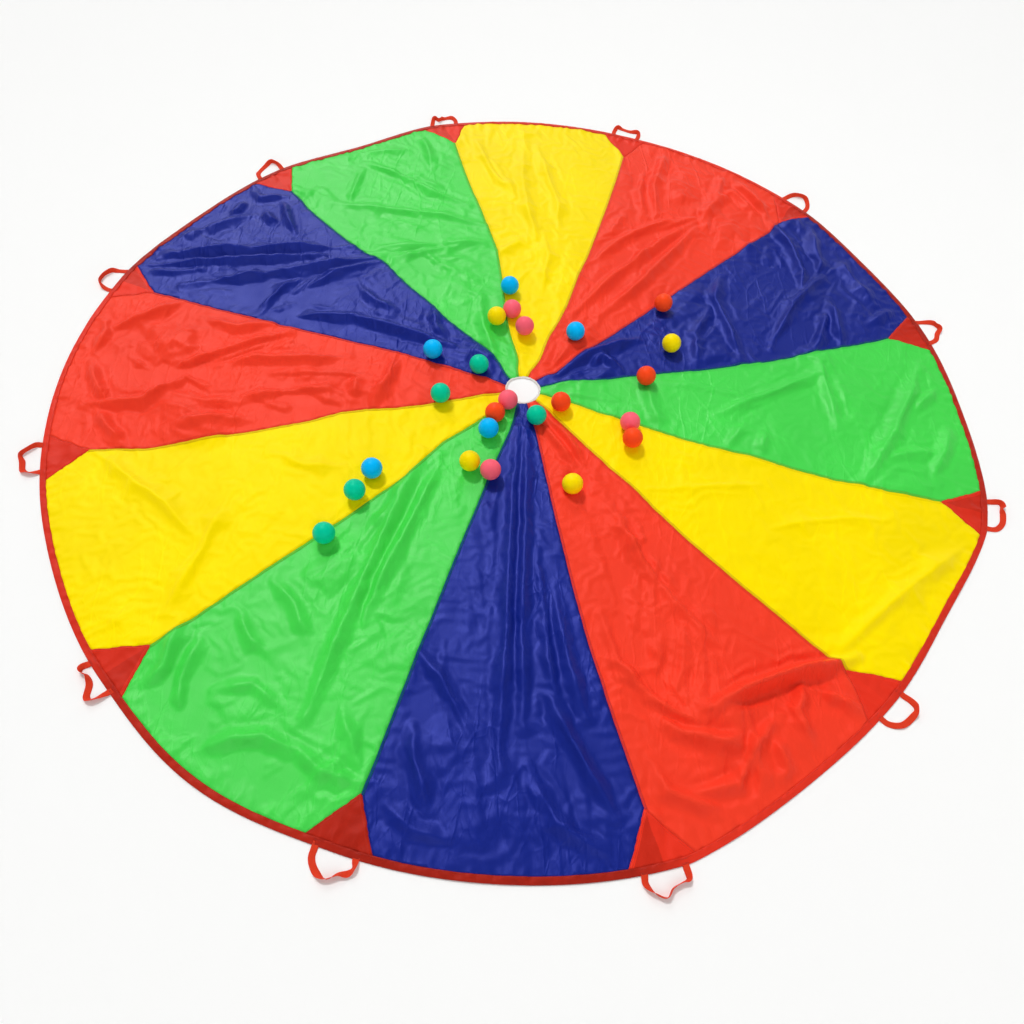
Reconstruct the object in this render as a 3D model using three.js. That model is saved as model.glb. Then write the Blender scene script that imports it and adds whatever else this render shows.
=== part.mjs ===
// Play parachute laid out on the floor with its play balls. Twelve cloth gores are sewn round
// an open vent, a hem with a corner patch at every seam closes the rim, and a webbing handle
// loops out of the rim at every patch. Lengths are millimetres and +Z is up.
import * as THREE from "three";

// Canopy
const GORE_COUNT = 12;
const RIM_RADIUS = 1750;
const RIM_DIP = 14;
const CLOTH_THICKNESS = 1.2;
const SEAM_GAP = 0.3;

// Seams whose ends lie drawn in as the canopy is spread: angle and depth, which fades out
// over the gore on either side
const DRAWN_IN = [
  [-45, 72],
  [15, 22],
  [135, 28],
];
const DRAWN_IN_SPREAD = 27.5;

// Main folds of the cloth as it lies
const FOLD_COUNT = 24;
const FOLD_HEIGHT = 14;
const FOLD_RISE_SHARE = 0.3;
const FOLD_FALL_SHARE = 0.32;
const SWAY_WAVES = 3;
const SWAY_DEPTH = 0.9;
const UNEVEN_WAVES = 5;
const UNEVEN_PHASE = 2;
const UNEVEN_DEPTH = 0.25;

// Hem and the triangular patch sewn in at each seam
const HEM_WIDTH = 24;
const HEM_THICKNESS = 2;
const PATCH_WIDTH = 200;
const PATCH_DEPTH = 148;

// Vent and the tape that binds its edge
const VENT_RADIUS = 60;
const BINDING_WIDTH = 10;
const BINDING_THICKNESS = 2;

// Webbing handle
const STRAP_WIDTH = 20;
const STRAP_THICKNESS = 1.6;
const HANDLE_SPACING = 120;
const HANDLE_REACH = 66;
const HANDLE_BULGE = 8;
const TWIST_SHARE = 0.34;

// Play balls: colour and place on the canopy
const BALL_DIAMETER = 75;
const BALL_GAP = 0.3;
const BALLS = [
  ["blue", -75, 530],
  ["pink", -60, 395],
  ["yellow", -120, 345],
  ["pink", -5, 300],
  ["blue", 200, 290],
  ["red", 565, 480],
  ["yellow", 585, 255],
  ["red", 475, 75],
  ["blue", -360, 145],
  ["green", -175, 85],
  ["green", -310, -75],
  ["pink", -55, -85],
  ["red", -100, -150],
  ["green", 55, -150],
  ["red", 145, -80],
  ["blue", -120, -227],
  ["pink", 405, -155],
  ["red", 410, -235],
  ["yellow", -178, -380],
  ["pink", -102, -415],
  ["yellow", 190, -450],
  ["blue", -520, -435],
  ["green", -565, -535],
  ["green", -640, -715],
];

// Facets
const MIDDLE_COLUMNS = 8;
const PATCH_COLUMNS = 2;
const CLOTH_ROWS = 9;
const RIM_STEPS = 20;
const STRAP_STEPS = 20;
const TANGENT_STEP = 0.01;
const BINDING_STEPS = 36;
const BALL_SEGMENTS = 12;
const BALL_RINGS = 10;
const SEAT_SAMPLES = 24;

// Colours, with the gores named clockwise from the front
const GORE_COLOURS = [
  ["blue", "#232d8c"],
  ["green", "#46dc4b"],
  ["yellow", "#ffe800"],
  ["red", "#f03c28"],
];
const TRIM_RED = "#cf2418";
const WEBBING_RED = "#da291b";
const BINDING_WHITE = "#f2efe9";
const BALL_COLOURS = {
  blue: "#0a96e1",
  pink: "#eb4678",
  yellow: "#fad214",
  red: "#e63a1e",
  green: "#0aa07d",
};

// Roughness of each material
const CLOTH_ROUGHNESS = 0.45;
const TRIM_ROUGHNESS = 0.5;
const WEBBING_ROUGHNESS = 0.6;
const BINDING_ROUGHNESS = 0.7;
const BALL_ROUGHNESS = 0.4;

const GORE_ANGLE = (2 * Math.PI) / GORE_COUNT;
const FRONT = -Math.PI / 2;
const PATCH_HALF_ANGLE = PATCH_WIDTH / 2 / (RIM_RADIUS - HEM_WIDTH);
const CLOTH_START = VENT_RADIUS + BINDING_WIDTH + SEAM_GAP;

const parachute = new THREE.Group();

function addPiece(name, geometry, colour, roughness) {
  const material = new THREE.MeshStandardMaterial({ color: colour, roughness, metalness: 0 });
  const mesh = new THREE.Mesh(geometry, material);
  mesh.name = name;
  parachute.add(mesh);
  return mesh;
}

// Two-digit number of a repeated piece, counted from one
function number(index) {
  return String(index + 1).padStart(2, "0");
}

function polar(radius, angle, height) {
  return new THREE.Vector3(radius * Math.cos(angle), radius * Math.sin(angle), height);
}

function solid(points, triangles) {
  const geometry = new THREE.BufferGeometry().setFromPoints(points);
  geometry.setIndex(triangles.flat());
  geometry.computeVertexNormals();
  return geometry;
}

// Angle from the nearest seam
function fromSeam(angle) {
  const seams = (angle - FRONT) / GORE_ANGLE - 0.5;
  return (seams - Math.round(seams)) * GORE_ANGLE;
}

function drawnIn(angle) {
  const degrees = THREE.MathUtils.radToDeg(angle);
  let depth = 0;
  for (const [seam, most] of DRAWN_IN) {
    const away = THREE.MathUtils.euclideanModulo(degrees - seam + 180, 360) - 180;
    const share = Math.min(1, Math.abs(away) / DRAWN_IN_SPREAD);
    depth += most * (1 - 1.5 * share ** 2 + 0.5 * share ** 3);
  }
  return depth;
}

// Outer edge of the hem
function rimRadius(angle) {
  const scallop = (RIM_DIP * (1 - Math.cos(GORE_COUNT * fromSeam(angle)))) / 2;
  return RIM_RADIUS - scallop - drawnIn(angle);
}

// Inner edge of the hem, and of the patch where there is one
function rimInnerRadius(angle) {
  const offset = fromSeam(angle);
  const share = Math.abs(offset) / PATCH_HALF_ANGLE;
  if (share >= 1) {
    return rimRadius(angle) - HEM_WIDTH;
  }
  const seam = angle - offset;
  const apex = rimRadius(seam) - HEM_WIDTH - PATCH_DEPTH;
  const corner = rimRadius(seam + Math.sign(offset) * PATCH_HALF_ANGLE) - HEM_WIDTH;
  return THREE.MathUtils.lerp(apex, corner, share);
}

// Angles across one gore from its middle, with a column on each corner of the patches
function columnAngles() {
  const seam = GORE_ANGLE / 2;
  const corner = seam - PATCH_HALF_ANGLE;
  const angles = [];
  for (let i = 0; i < PATCH_COLUMNS; i++) {
    angles.push(THREE.MathUtils.lerp(-seam, -corner, i / PATCH_COLUMNS));
  }
  for (let i = 0; i < MIDDLE_COLUMNS; i++) {
    angles.push(THREE.MathUtils.lerp(-corner, corner, i / MIDDLE_COLUMNS));
  }
  for (let i = 0; i <= PATCH_COLUMNS; i++) {
    angles.push(THREE.MathUtils.lerp(corner, seam, i / PATCH_COLUMNS));
  }
  return angles;
}

// Height of the cloth over the floor: folds fan out from the vent and flatten at both edges
function foldHeight(angle, share) {
  const sway = SWAY_DEPTH * Math.sin(SWAY_WAVES * angle);
  const crest = (1 + Math.cos(FOLD_COUNT * angle + sway)) / 2;
  const uneven = 1 - (UNEVEN_DEPTH * (1 + Math.cos(UNEVEN_WAVES * angle + UNEVEN_PHASE))) / 2;
  const rise = THREE.MathUtils.smoothstep(share, 0, FOLD_RISE_SHARE);
  const fall = THREE.MathUtils.smoothstep(1 - share, 0, FOLD_FALL_SHARE);
  return FOLD_HEIGHT * crest * uneven * rise * fall;
}

// One gore: a thin closed shell whose top and underside follow the folds
function goreGeometry(middle) {
  const columns = columnAngles();
  const perRow = columns.length;
  const points = [];
  for (const lift of [CLOTH_THICKNESS, 0]) {
    for (let row = 0; row <= CLOTH_ROWS; row++) {
      const share = row / CLOTH_ROWS;
      for (const column of columns) {
        const clothEnd = rimInnerRadius(middle + column) - 2 * SEAM_GAP;
        const radius = THREE.MathUtils.lerp(CLOTH_START, clothEnd, share);
        const squeeze = 1 - SEAM_GAP / radius / GORE_ANGLE;
        const height = foldHeight(middle + column, share) + lift;
        points.push(polar(radius, middle + column * squeeze, height));
      }
    }
  }
  const underside = points.length / 2;
  const triangles = [];
  const quad = (a, b, c, d) => triangles.push([a, b, c], [a, c, d]);
  for (let row = 0; row < CLOTH_ROWS; row++) {
    for (let column = 0; column < perRow - 1; column++) {
      const a = row * perRow + column;
      const b = a + perRow;
      quad(a, b, b + 1, a + 1);
      quad(underside + a, underside + a + 1, underside + b + 1, underside + b);
    }
    const start = row * perRow;
    const end = start + perRow - 1;
    quad(start, underside + start, underside + start + perRow, start + perRow);
    quad(end, end + perRow, underside + end + perRow, underside + end);
  }
  for (let column = 0; column < perRow - 1; column++) {
    const rim = CLOTH_ROWS * perRow + column;
    quad(column, column + 1, underside + column + 1, underside + column);
    quad(rim, underside + rim, underside + rim + 1, rim + 1);
  }
  return solid(points, triangles);
}

// Hem and patches: one flat band whose inner outline runs in along both sides of each patch
function rimBandGeometry() {
  const outer = [];
  const inner = [];
  for (let gore = 0; gore < GORE_COUNT; gore++) {
    const middle = FRONT + gore * GORE_ANGLE;
    for (let step = 0; step < RIM_STEPS; step++) {
      const column = GORE_ANGLE * (step / RIM_STEPS - 0.5);
      const edge = polar(rimRadius(middle + column), middle + column, 0);
      outer.push(new THREE.Vector2(edge.x, edge.y));
    }
    for (const column of columnAngles().slice(0, -1)) {
      const edge = polar(rimInnerRadius(middle + column), middle + column, 0);
      inner.push(new THREE.Vector2(edge.x, edge.y));
    }
  }
  const outline = new THREE.Shape(outer);
  outline.holes.push(new THREE.Path(inner));
  return new THREE.ExtrudeGeometry(outline, { depth: HEM_THICKNESS, bevelEnabled: false });
}

function bindingGeometry() {
  const inside = VENT_RADIUS;
  const outside = VENT_RADIUS + BINDING_WIDTH;
  const profile = [
    new THREE.Vector2(inside, 0),
    new THREE.Vector2(outside, 0),
    new THREE.Vector2(outside, BINDING_THICKNESS),
    new THREE.Vector2(inside, BINDING_THICKNESS),
    new THREE.Vector2(inside, 0),
  ];
  return new THREE.LatheGeometry(profile, BINDING_STEPS).rotateX(Math.PI / 2);
}

// One handle, at the end of a seam: the webbing leaves the rim flat, turns on edge round the
// loop and lies flat again where it goes back under the hem
function handleGeometry(seam) {
  const half = HANDLE_SPACING / 2;
  const pull = (4 / 3) * HANDLE_REACH;
  const loop = new THREE.CubicBezierCurve(
    new THREE.Vector2(-half, 0),
    new THREE.Vector2(-half - HANDLE_BULGE, pull),
    new THREE.Vector2(half + HANDLE_BULGE, pull),
    new THREE.Vector2(half, 0),
  );
  const up = new THREE.Vector3(0, 0, 1);
  const onCanopy = (share) => {
    const place = loop.getPoint(share);
    const angle = seam + place.x / RIM_RADIUS;
    return polar(rimRadius(angle) + SEAM_GAP + place.y, angle, 0);
  };
  const points = [];
  for (let step = 0; step <= STRAP_STEPS; step++) {
    const share = step / STRAP_STEPS;
    const centre = onCanopy(share);
    const near = onCanopy(Math.max(0, share - TANGENT_STEP));
    const far = onCanopy(Math.min(1, share + TANGENT_STEP));
    const along = far.sub(near).normalize();
    if (step === 0 || step === STRAP_STEPS) {
      along.copy(centre).setLength(step === 0 ? 1 : -1);
    }
    const sideways = new THREE.Vector3().crossVectors(along, up);
    const into = THREE.MathUtils.smoothstep(share, 0, TWIST_SHARE);
    const out = THREE.MathUtils.smoothstep(1 - share, 0, TWIST_SHARE);
    const turn = (Math.PI / 2) * into * out;
    const flat = Math.cos(turn);
    const onEdge = Math.sin(turn);
    const across = sideways.clone().multiplyScalar(flat).addScaledVector(up, onEdge);
    const through = up.clone().multiplyScalar(flat).addScaledVector(sideways, -onEdge);
    const halfWidth = STRAP_WIDTH / 2;
    const halfThickness = STRAP_THICKNESS / 2;
    centre.z = halfWidth * onEdge + halfThickness * flat;
    for (const [a, b] of [[-1, -1], [1, -1], [1, 1], [-1, 1]]) {
      const corner = centre.clone().addScaledVector(across, a * halfWidth);
      points.push(corner.addScaledVector(through, b * halfThickness));
    }
  }
  const triangles = [];
  for (let step = 0; step < STRAP_STEPS; step++) {
    for (let side = 0; side < 4; side++) {
      const a = 4 * step + side;
      const b = 4 * step + ((side + 1) % 4);
      // Both faces of the webbing are split along the same diagonal, so that they stay apart
      if (side < 2) {
        triangles.push([a, a + 4, b + 4], [a, b + 4, b]);
      } else {
        triangles.push([a, a + 4, b], [b, a + 4, b + 4]);
      }
    }
  }
  const last = 4 * STRAP_STEPS;
  triangles.push([0, 1, 2], [0, 2, 3]);
  triangles.push([last, last + 2, last + 1], [last, last + 3, last + 2]);
  return solid(points, triangles);
}

// Height at which a ball's centre rests on the surfaces below it
function restHeight(x, y, surfaces) {
  const radius = BALL_DIAMETER / 2;
  let height = radius;
  const corners = [new THREE.Vector3(), new THREE.Vector3(), new THREE.Vector3()];
  const point = new THREE.Vector3();
  for (const surface of surfaces) {
    const position = surface.getAttribute("position");
    for (let i = 0; i < surface.index.count; i += 3) {
      corners.forEach((corner, k) => corner.fromBufferAttribute(position, surface.index.getX(i + k)));
      const box = new THREE.Box3().setFromPoints(corners);
      const dx = Math.max(box.min.x - x, 0, x - box.max.x);
      const dy = Math.max(box.min.y - y, 0, y - box.max.y);
      if (Math.hypot(dx, dy) >= radius) {
        continue;
      }
      for (let a = 0; a <= SEAT_SAMPLES; a++) {
        for (let b = 0; b <= SEAT_SAMPLES - a; b++) {
          const c = SEAT_SAMPLES - a - b;
          point.set(0, 0, 0).addScaledVector(corners[0], a / SEAT_SAMPLES);
          point.addScaledVector(corners[1], b / SEAT_SAMPLES).addScaledVector(corners[2], c / SEAT_SAMPLES);
          const beside = Math.hypot(point.x - x, point.y - y);
          if (beside < radius) {
            height = Math.max(height, point.z + Math.sqrt(radius ** 2 - beside ** 2));
          }
        }
      }
    }
  }
  return height + BALL_GAP;
}

// Canopy
const surfaces = [];
for (let gore = 0; gore < GORE_COUNT; gore++) {
  const [colourName, colour] = GORE_COLOURS[gore % GORE_COLOURS.length];
  const geometry = goreGeometry(FRONT - gore * GORE_ANGLE);
  addPiece(`gore_${number(gore)}_${colourName}`, geometry, colour, CLOTH_ROUGHNESS);
  surfaces.push(geometry);
}
addPiece("rim_hem_and_patches", rimBandGeometry(), TRIM_RED, TRIM_ROUGHNESS);
const binding = addPiece("vent_binding", bindingGeometry(), BINDING_WHITE, BINDING_ROUGHNESS);
surfaces.push(binding.geometry);

// Handles
for (let seam = 0; seam < GORE_COUNT; seam++) {
  const geometry = handleGeometry(FRONT - (seam + 0.5) * GORE_ANGLE);
  addPiece(`handle_${number(seam)}`, geometry, WEBBING_RED, WEBBING_ROUGHNESS);
}

// Balls
BALLS.forEach(([colourName, x, y], index) => {
  const sphere = new THREE.SphereGeometry(BALL_DIAMETER / 2, BALL_SEGMENTS, BALL_RINGS);
  sphere.rotateX(Math.PI / 2);
  const name = `ball_${number(index)}_${colourName}`;
  const ball = addPiece(name, sphere, BALL_COLOURS[colourName], BALL_ROUGHNESS);
  ball.position.set(x, y, restHeight(x, y, surfaces));
});

export default parachute;
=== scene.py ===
import math

import bpy
import numpy as np
from mathutils import Matrix, Vector
from mathutils.bvhtree import BVHTree
from mathutils.geometry import delaunay_2d_cdt
from mathutils.kdtree import KDTree


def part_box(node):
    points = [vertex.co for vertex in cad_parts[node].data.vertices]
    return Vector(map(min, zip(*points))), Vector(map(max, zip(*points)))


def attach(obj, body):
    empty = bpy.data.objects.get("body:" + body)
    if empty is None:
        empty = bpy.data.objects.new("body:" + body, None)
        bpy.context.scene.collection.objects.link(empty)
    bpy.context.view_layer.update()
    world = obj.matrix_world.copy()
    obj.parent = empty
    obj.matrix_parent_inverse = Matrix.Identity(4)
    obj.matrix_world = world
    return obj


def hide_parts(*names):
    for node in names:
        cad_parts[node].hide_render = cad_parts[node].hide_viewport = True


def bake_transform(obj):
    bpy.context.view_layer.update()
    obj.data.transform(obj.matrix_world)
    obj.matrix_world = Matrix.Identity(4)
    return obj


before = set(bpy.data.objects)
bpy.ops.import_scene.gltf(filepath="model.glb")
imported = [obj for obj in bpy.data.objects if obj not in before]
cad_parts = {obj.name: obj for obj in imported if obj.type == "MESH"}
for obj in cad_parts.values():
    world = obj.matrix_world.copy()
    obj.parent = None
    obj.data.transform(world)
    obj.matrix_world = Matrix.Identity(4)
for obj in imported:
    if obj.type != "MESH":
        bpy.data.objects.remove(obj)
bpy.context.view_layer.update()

scene = bpy.context.scene
scene.view_settings.view_transform = "Standard"
bpy.ops.object.select_all(action="DESELECT")


# Studio floor: a plain white floor that the canopy is spread on, with pale walls a long way off all
# round. It takes the shadows of the cloth and the balls.
def linear(colour):
    """A hex colour as the linear values that a shader takes."""
    channels = [int(colour[i:i + 2], 16) / 255 for i in (1, 3, 5)]
    return [c / 12.92 if c <= 0.04045 else ((c + 0.055) / 1.055) ** 2.4 for c in channels] + [1.0]


def new_material(name, colour, roughness):
    material = bpy.data.materials.new(name)
    material.use_nodes = True
    tree = material.node_tree
    shader = tree.nodes["Principled BSDF"]
    shader.inputs["Base Color"].default_value = linear(colour)
    shader.inputs["Roughness"].default_value = roughness
    return material, tree, shader


FLOOR_SIZE = 130.0
FLOOR_DROP = 0.0005
WALL_SIDES = 128
WALL_RADIUS = 60.0
WALL_HEIGHT = 24.0
STUDIO_WHITE = "#fcfcfb"
studio_paint, _, studio_shader = new_material("studio_paint", STUDIO_WHITE, 0.9)
studio_shader.inputs["Specular IOR Level"].default_value = 0.1
bpy.ops.mesh.primitive_plane_add(size=FLOOR_SIZE, location=(0, 0, -FLOOR_DROP))
floor = bpy.context.object
floor.name = "studio_floor"
bpy.ops.mesh.primitive_cylinder_add(
    vertices=WALL_SIDES, radius=WALL_RADIUS, depth=WALL_HEIGHT, end_fill_type="NOTHING",
    location=(0, 0, WALL_HEIGHT / 2))
wall = bpy.context.object
wall.name = "studio_wall"
wall.data.shade_smooth()
for part in (floor, wall):
    part.data.materials.append(studio_paint)


# Studio light: an even white surround, one far lamp high up at the back left that draws the folds
# and the shadows of the balls, a wide dim one low at the back, a very soft one in front that fills
# the shaded sides, and a softbox overhead for the sheen.
SURROUND_STRENGTH = 0.30
LAMPS = (
    ("back_left_lamp", (-0.263, 0.494, 0.829), 1.42, 8),
    ("back_window", (-0.200, 0.795, 0.573), 0.45, 18),
    ("front_fill", (0.150, -0.780, 0.610), 0.75, 50),
)
LAMP_DISTANCE = 5
SOFTBOX_PLACE = (0.1, 0.5, 4.0)
SOFTBOX_SIZE = (2.4, 1.3)
SOFTBOX_POWER = 14.0
world = bpy.data.worlds.new("studio_surround")
world.use_nodes = True
surround = world.node_tree.nodes["Background"].inputs
surround["Color"].default_value = (1, 1, 1, 1)
surround["Strength"].default_value = SURROUND_STRENGTH
scene.world = world
for lamp_name, toward, strength, softness in LAMPS:
    lamp_data = bpy.data.lights.new(lamp_name, "SUN")
    lamp_data.energy = strength
    lamp_data.angle = math.radians(softness)
    lamp = bpy.data.objects.new(lamp_name, lamp_data)
    lamp.location = Vector(toward) * LAMP_DISTANCE
    lamp.rotation_euler = Vector(toward).to_track_quat("Z", "Y").to_euler()
    scene.collection.objects.link(lamp)
softbox_data = bpy.data.lights.new("softbox", "AREA")
softbox_data.shape = "RECTANGLE"
softbox_data.size, softbox_data.size_y = SOFTBOX_SIZE
softbox_data.energy = SOFTBOX_POWER
softbox = bpy.data.objects.new("softbox", softbox_data)
softbox.location = SOFTBOX_PLACE
scene.collection.objects.link(softbox)


# Camera: hand held in front of the canopy and well above it, tipped a little to one side. Its
# place was worked out from the twelve seam ends.
CAMERA_AIM = np.array([-0.0177, -0.5577, 0.0])
CAMERA_DISTANCE = 2.7857
CAMERA_SIDE = math.radians(-1.56)
CAMERA_RISE = math.radians(57.94)
CAMERA_ROLL = math.radians(4.73)
FOCAL_PIXELS = 797
PICTURE_PIXELS = 1024
back = np.array([
    math.sin(CAMERA_SIDE) * math.cos(CAMERA_RISE),
    -math.cos(CAMERA_SIDE) * math.cos(CAMERA_RISE),
    math.sin(CAMERA_RISE),
])
level_right = np.cross(-back, (0, 0, 1))
level_right /= np.linalg.norm(level_right)
level_up = np.cross(level_right, -back)
right = level_right * math.cos(CAMERA_ROLL) + level_up * math.sin(CAMERA_ROLL)
up = level_up * math.cos(CAMERA_ROLL) - level_right * math.sin(CAMERA_ROLL)
camera_data = bpy.data.cameras.new("camera")
camera_data.lens = camera_data.sensor_width * FOCAL_PIXELS / PICTURE_PIXELS
camera = bpy.data.objects.new("camera", camera_data)
placed = np.eye(4)
placed[:3, :] = np.column_stack([right, up, back, CAMERA_AIM + back * CAMERA_DISTANCE])
camera.matrix_world = Matrix(placed.tolist())
scene.collection.objects.link(camera)
scene.camera = camera


# Canopy cut: twelve gores, a patch in each corner and the hem are sewn into one round sheet. It is
# laid out flat here as triangles whose edges follow every seam, one gore turned twelve times.
GORE_COUNT = 12
GORE_HALF_ANGLE = math.pi / GORE_COUNT
RIM_RADIUS = 1.750
RIM_DIP = 0.014
HEM_WIDTH = 0.020
PATCH_WIDTH = 0.200
PATCH_DEPTH = 0.148
CLOTH_START = 0.064
CLOTH_SPACING = 0.015
LATTICE_HALF_COLUMNS = 40
LATTICE_GAP = 0.55
VENT_FLATS = 3
VENT_LIMIT = 0.97
SAME_POINT = 0.0001
SLIVER = 1e-7
PATCH_HALF_ANGLE = PATCH_WIDTH / 2 / (RIM_RADIUS - HEM_WIDTH)
PATCH_APEX = RIM_RADIUS - HEM_WIDTH - PATCH_DEPTH
GORE_CLOTH, PATCH_CLOTH, HEM_CLOTH = 0, 1, 2


def polar(radius, angle):
    return np.stack([radius * np.cos(angle), radius * np.sin(angle)], -1)


def rim_at(from_seam):
    """Radius of the cut's edge, at an angle from the nearest seam."""
    return RIM_RADIUS - RIM_DIP * (1 - np.cos(GORE_COUNT * from_seam)) / 2


def patch_inner_at(from_seam):
    """Radius where the gore ends at the hem, or at the patch beside a seam."""
    beside = np.abs(from_seam)
    corner = rim_at(PATCH_HALF_ANGLE) - HEM_WIDTH
    on_patch = PATCH_APEX + (corner - PATCH_APEX) * beside / PATCH_HALF_ANGLE
    return np.where(beside < PATCH_HALF_ANGLE, on_patch, rim_at(from_seam) - HEM_WIDTH)


def even_steps(start, end, step):
    return np.linspace(start, end, max(1, round(abs(end - start) / step)) + 1)


def gore_cut():
    """Corners and triangles of one gore with its halves of two patches, middle along +X."""
    half, corner = GORE_HALF_ANGLE, GORE_HALF_ANGLE - PATCH_HALF_ANGLE
    radii = np.concatenate([
        even_steps(CLOTH_START, PATCH_APEX, CLOTH_SPACING),
        even_steps(PATCH_APEX, RIM_RADIUS - HEM_WIDTH, CLOTH_SPACING)[1:],
        np.linspace(RIM_RADIUS - HEM_WIDTH, RIM_RADIUS, 3)[1:],
    ])
    step = CLOTH_SPACING / RIM_RADIUS
    angles = np.concatenate([
        even_steps(-half, -corner, step),
        even_steps(-corner, corner, step)[1:],
        even_steps(corner, half, step)[1:],
    ])
    lines = [polar(radii, side * half) for side in (-1, 1)]
    lines.append(polar(CLOTH_START, np.linspace(-half, half, VENT_FLATS + 1)))
    for inset in (HEM_WIDTH, HEM_WIDTH / 2, 0):
        lines.append(polar(rim_at(half - np.abs(angles)) - inset, angles))
    for side in (-1, 1):
        patch_angles = side * (half - even_steps(0, PATCH_HALF_ANGLE, step))
        apex = polar(PATCH_APEX, side * half)
        foot = polar(rim_at(PATCH_HALF_ANGLE) - HEM_WIDTH, side * corner)
        share = np.linspace(0, 1, len(patch_angles) + 4)[:, None]
        lines.append(apex + (foot - apex) * share)
    knots, found, joins = [], {}, []
    for line in lines:
        row = []
        for x, y in line:
            key = (round(x * 1e6), round(y * 1e6))
            if key not in found:
                found[key] = len(knots)
                knots.append((x, y))
            row.append(found[key])
        joins += list(zip(row[:-1], row[1:]))
    knots, joins = np.array(knots), np.array(joins)
    tall = CLOTH_SPACING * math.sqrt(3) / 2
    columns = np.arange(-LATTICE_HALF_COLUMNS, LATTICE_HALF_COLUMNS + 1)
    columns, rows = np.meshgrid(columns, np.arange(int(RIM_RADIUS / tall) + 2))
    lattice = np.stack([rows * tall, (columns + 0.5 * (rows % 2)) * CLOTH_SPACING], -1).reshape(-1, 2)
    reach, turn = np.hypot(*lattice.T), np.arctan2(lattice[:, 1], lattice[:, 0])
    lattice = lattice[(reach > CLOTH_START) & (np.abs(turn) < half) & (reach < RIM_RADIUS - HEM_WIDTH)]
    start, run = knots[joins[:, 0]], knots[joins[:, 1]] - knots[joins[:, 0]]
    along = np.clip(((lattice[:, None] - start) * run).sum(-1) / (run ** 2).sum(-1), 0, 1)
    apart = np.linalg.norm(lattice[:, None] - start - along[..., None] * run, axis=-1).min(1)
    lattice = lattice[apart > LATTICE_GAP * CLOTH_SPACING]
    knots = np.vstack([knots, lattice])
    corners, _, triangles, *_ = delaunay_2d_cdt(
        [Vector(knot) for knot in knots], [tuple(map(int, join)) for join in joins], [], 0, 1e-6)
    corners = np.array([tuple(corner) for corner in corners])
    triangles = np.array(triangles)
    middle = corners[triangles].mean(1)
    reach, turn = np.hypot(*middle.T), np.arctan2(middle[:, 1], middle[:, 0])
    inside = (np.abs(turn) < half) & (reach < rim_at(half - np.abs(turn)))
    inside &= reach > VENT_LIMIT * CLOTH_START
    side, other = (corners[triangles[:, i]] - corners[triangles[:, 0]] for i in (1, 2))
    inside &= np.abs(side[:, 0] * other[:, 1] - side[:, 1] * other[:, 0]) > SLIVER
    triangles, reach, turn = triangles[inside], reach[inside], turn[inside]
    from_seam = half - np.abs(turn)
    region = np.full(len(triangles), GORE_CLOTH)
    region[reach > patch_inner_at(from_seam)] = PATCH_CLOTH
    region[reach > rim_at(from_seam) - HEM_WIDTH] = HEM_CLOTH
    used, triangles = np.unique(triangles, return_inverse=True)
    return corners[used], triangles.reshape(-1, 3), region


def gore_middle(gore):
    """Angle of a gore's middle line; gores are counted clockwise from the front."""
    return -math.pi / 2 - 2 * GORE_HALF_ANGLE * gore


def seam_angle(seam):
    """Angle of a seam; seam and handle numbers run clockwise from the left of the front gore."""
    return gore_middle(seam) - GORE_HALF_ANGLE


def from_nearest_seam(angles):
    seams = (angles + math.pi / 2) / (2 * GORE_HALF_ANGLE) - 0.5
    return (seams - np.round(seams)) * 2 * GORE_HALF_ANGLE


one_gore, one_triangles, one_region = gore_cut()
turned = []
for gore in range(GORE_COUNT):
    cosine, sine = math.cos(gore_middle(gore)), math.sin(gore_middle(gore))
    turned.append(one_gore @ np.array([[cosine, sine], [-sine, cosine]]))
turned = np.vstack(turned)
nearby = KDTree(len(turned))
for i, (x, y) in enumerate(turned):
    nearby.insert((x, y, 0), i)
nearby.balance()
first_of = [min(index for _, index, _ in nearby.find_range((x, y, 0), SAME_POINT)) for x, y in turned]
kept, shared = np.unique(first_of, return_inverse=True)
flat = turned[kept]
triangles = np.vstack([one_triangles + gore * len(one_gore) for gore in range(GORE_COUNT)])
triangles = shared[triangles]
region_of = np.tile(one_region, GORE_COUNT)
gore_of = np.repeat(np.arange(GORE_COUNT), len(one_triangles))


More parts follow.
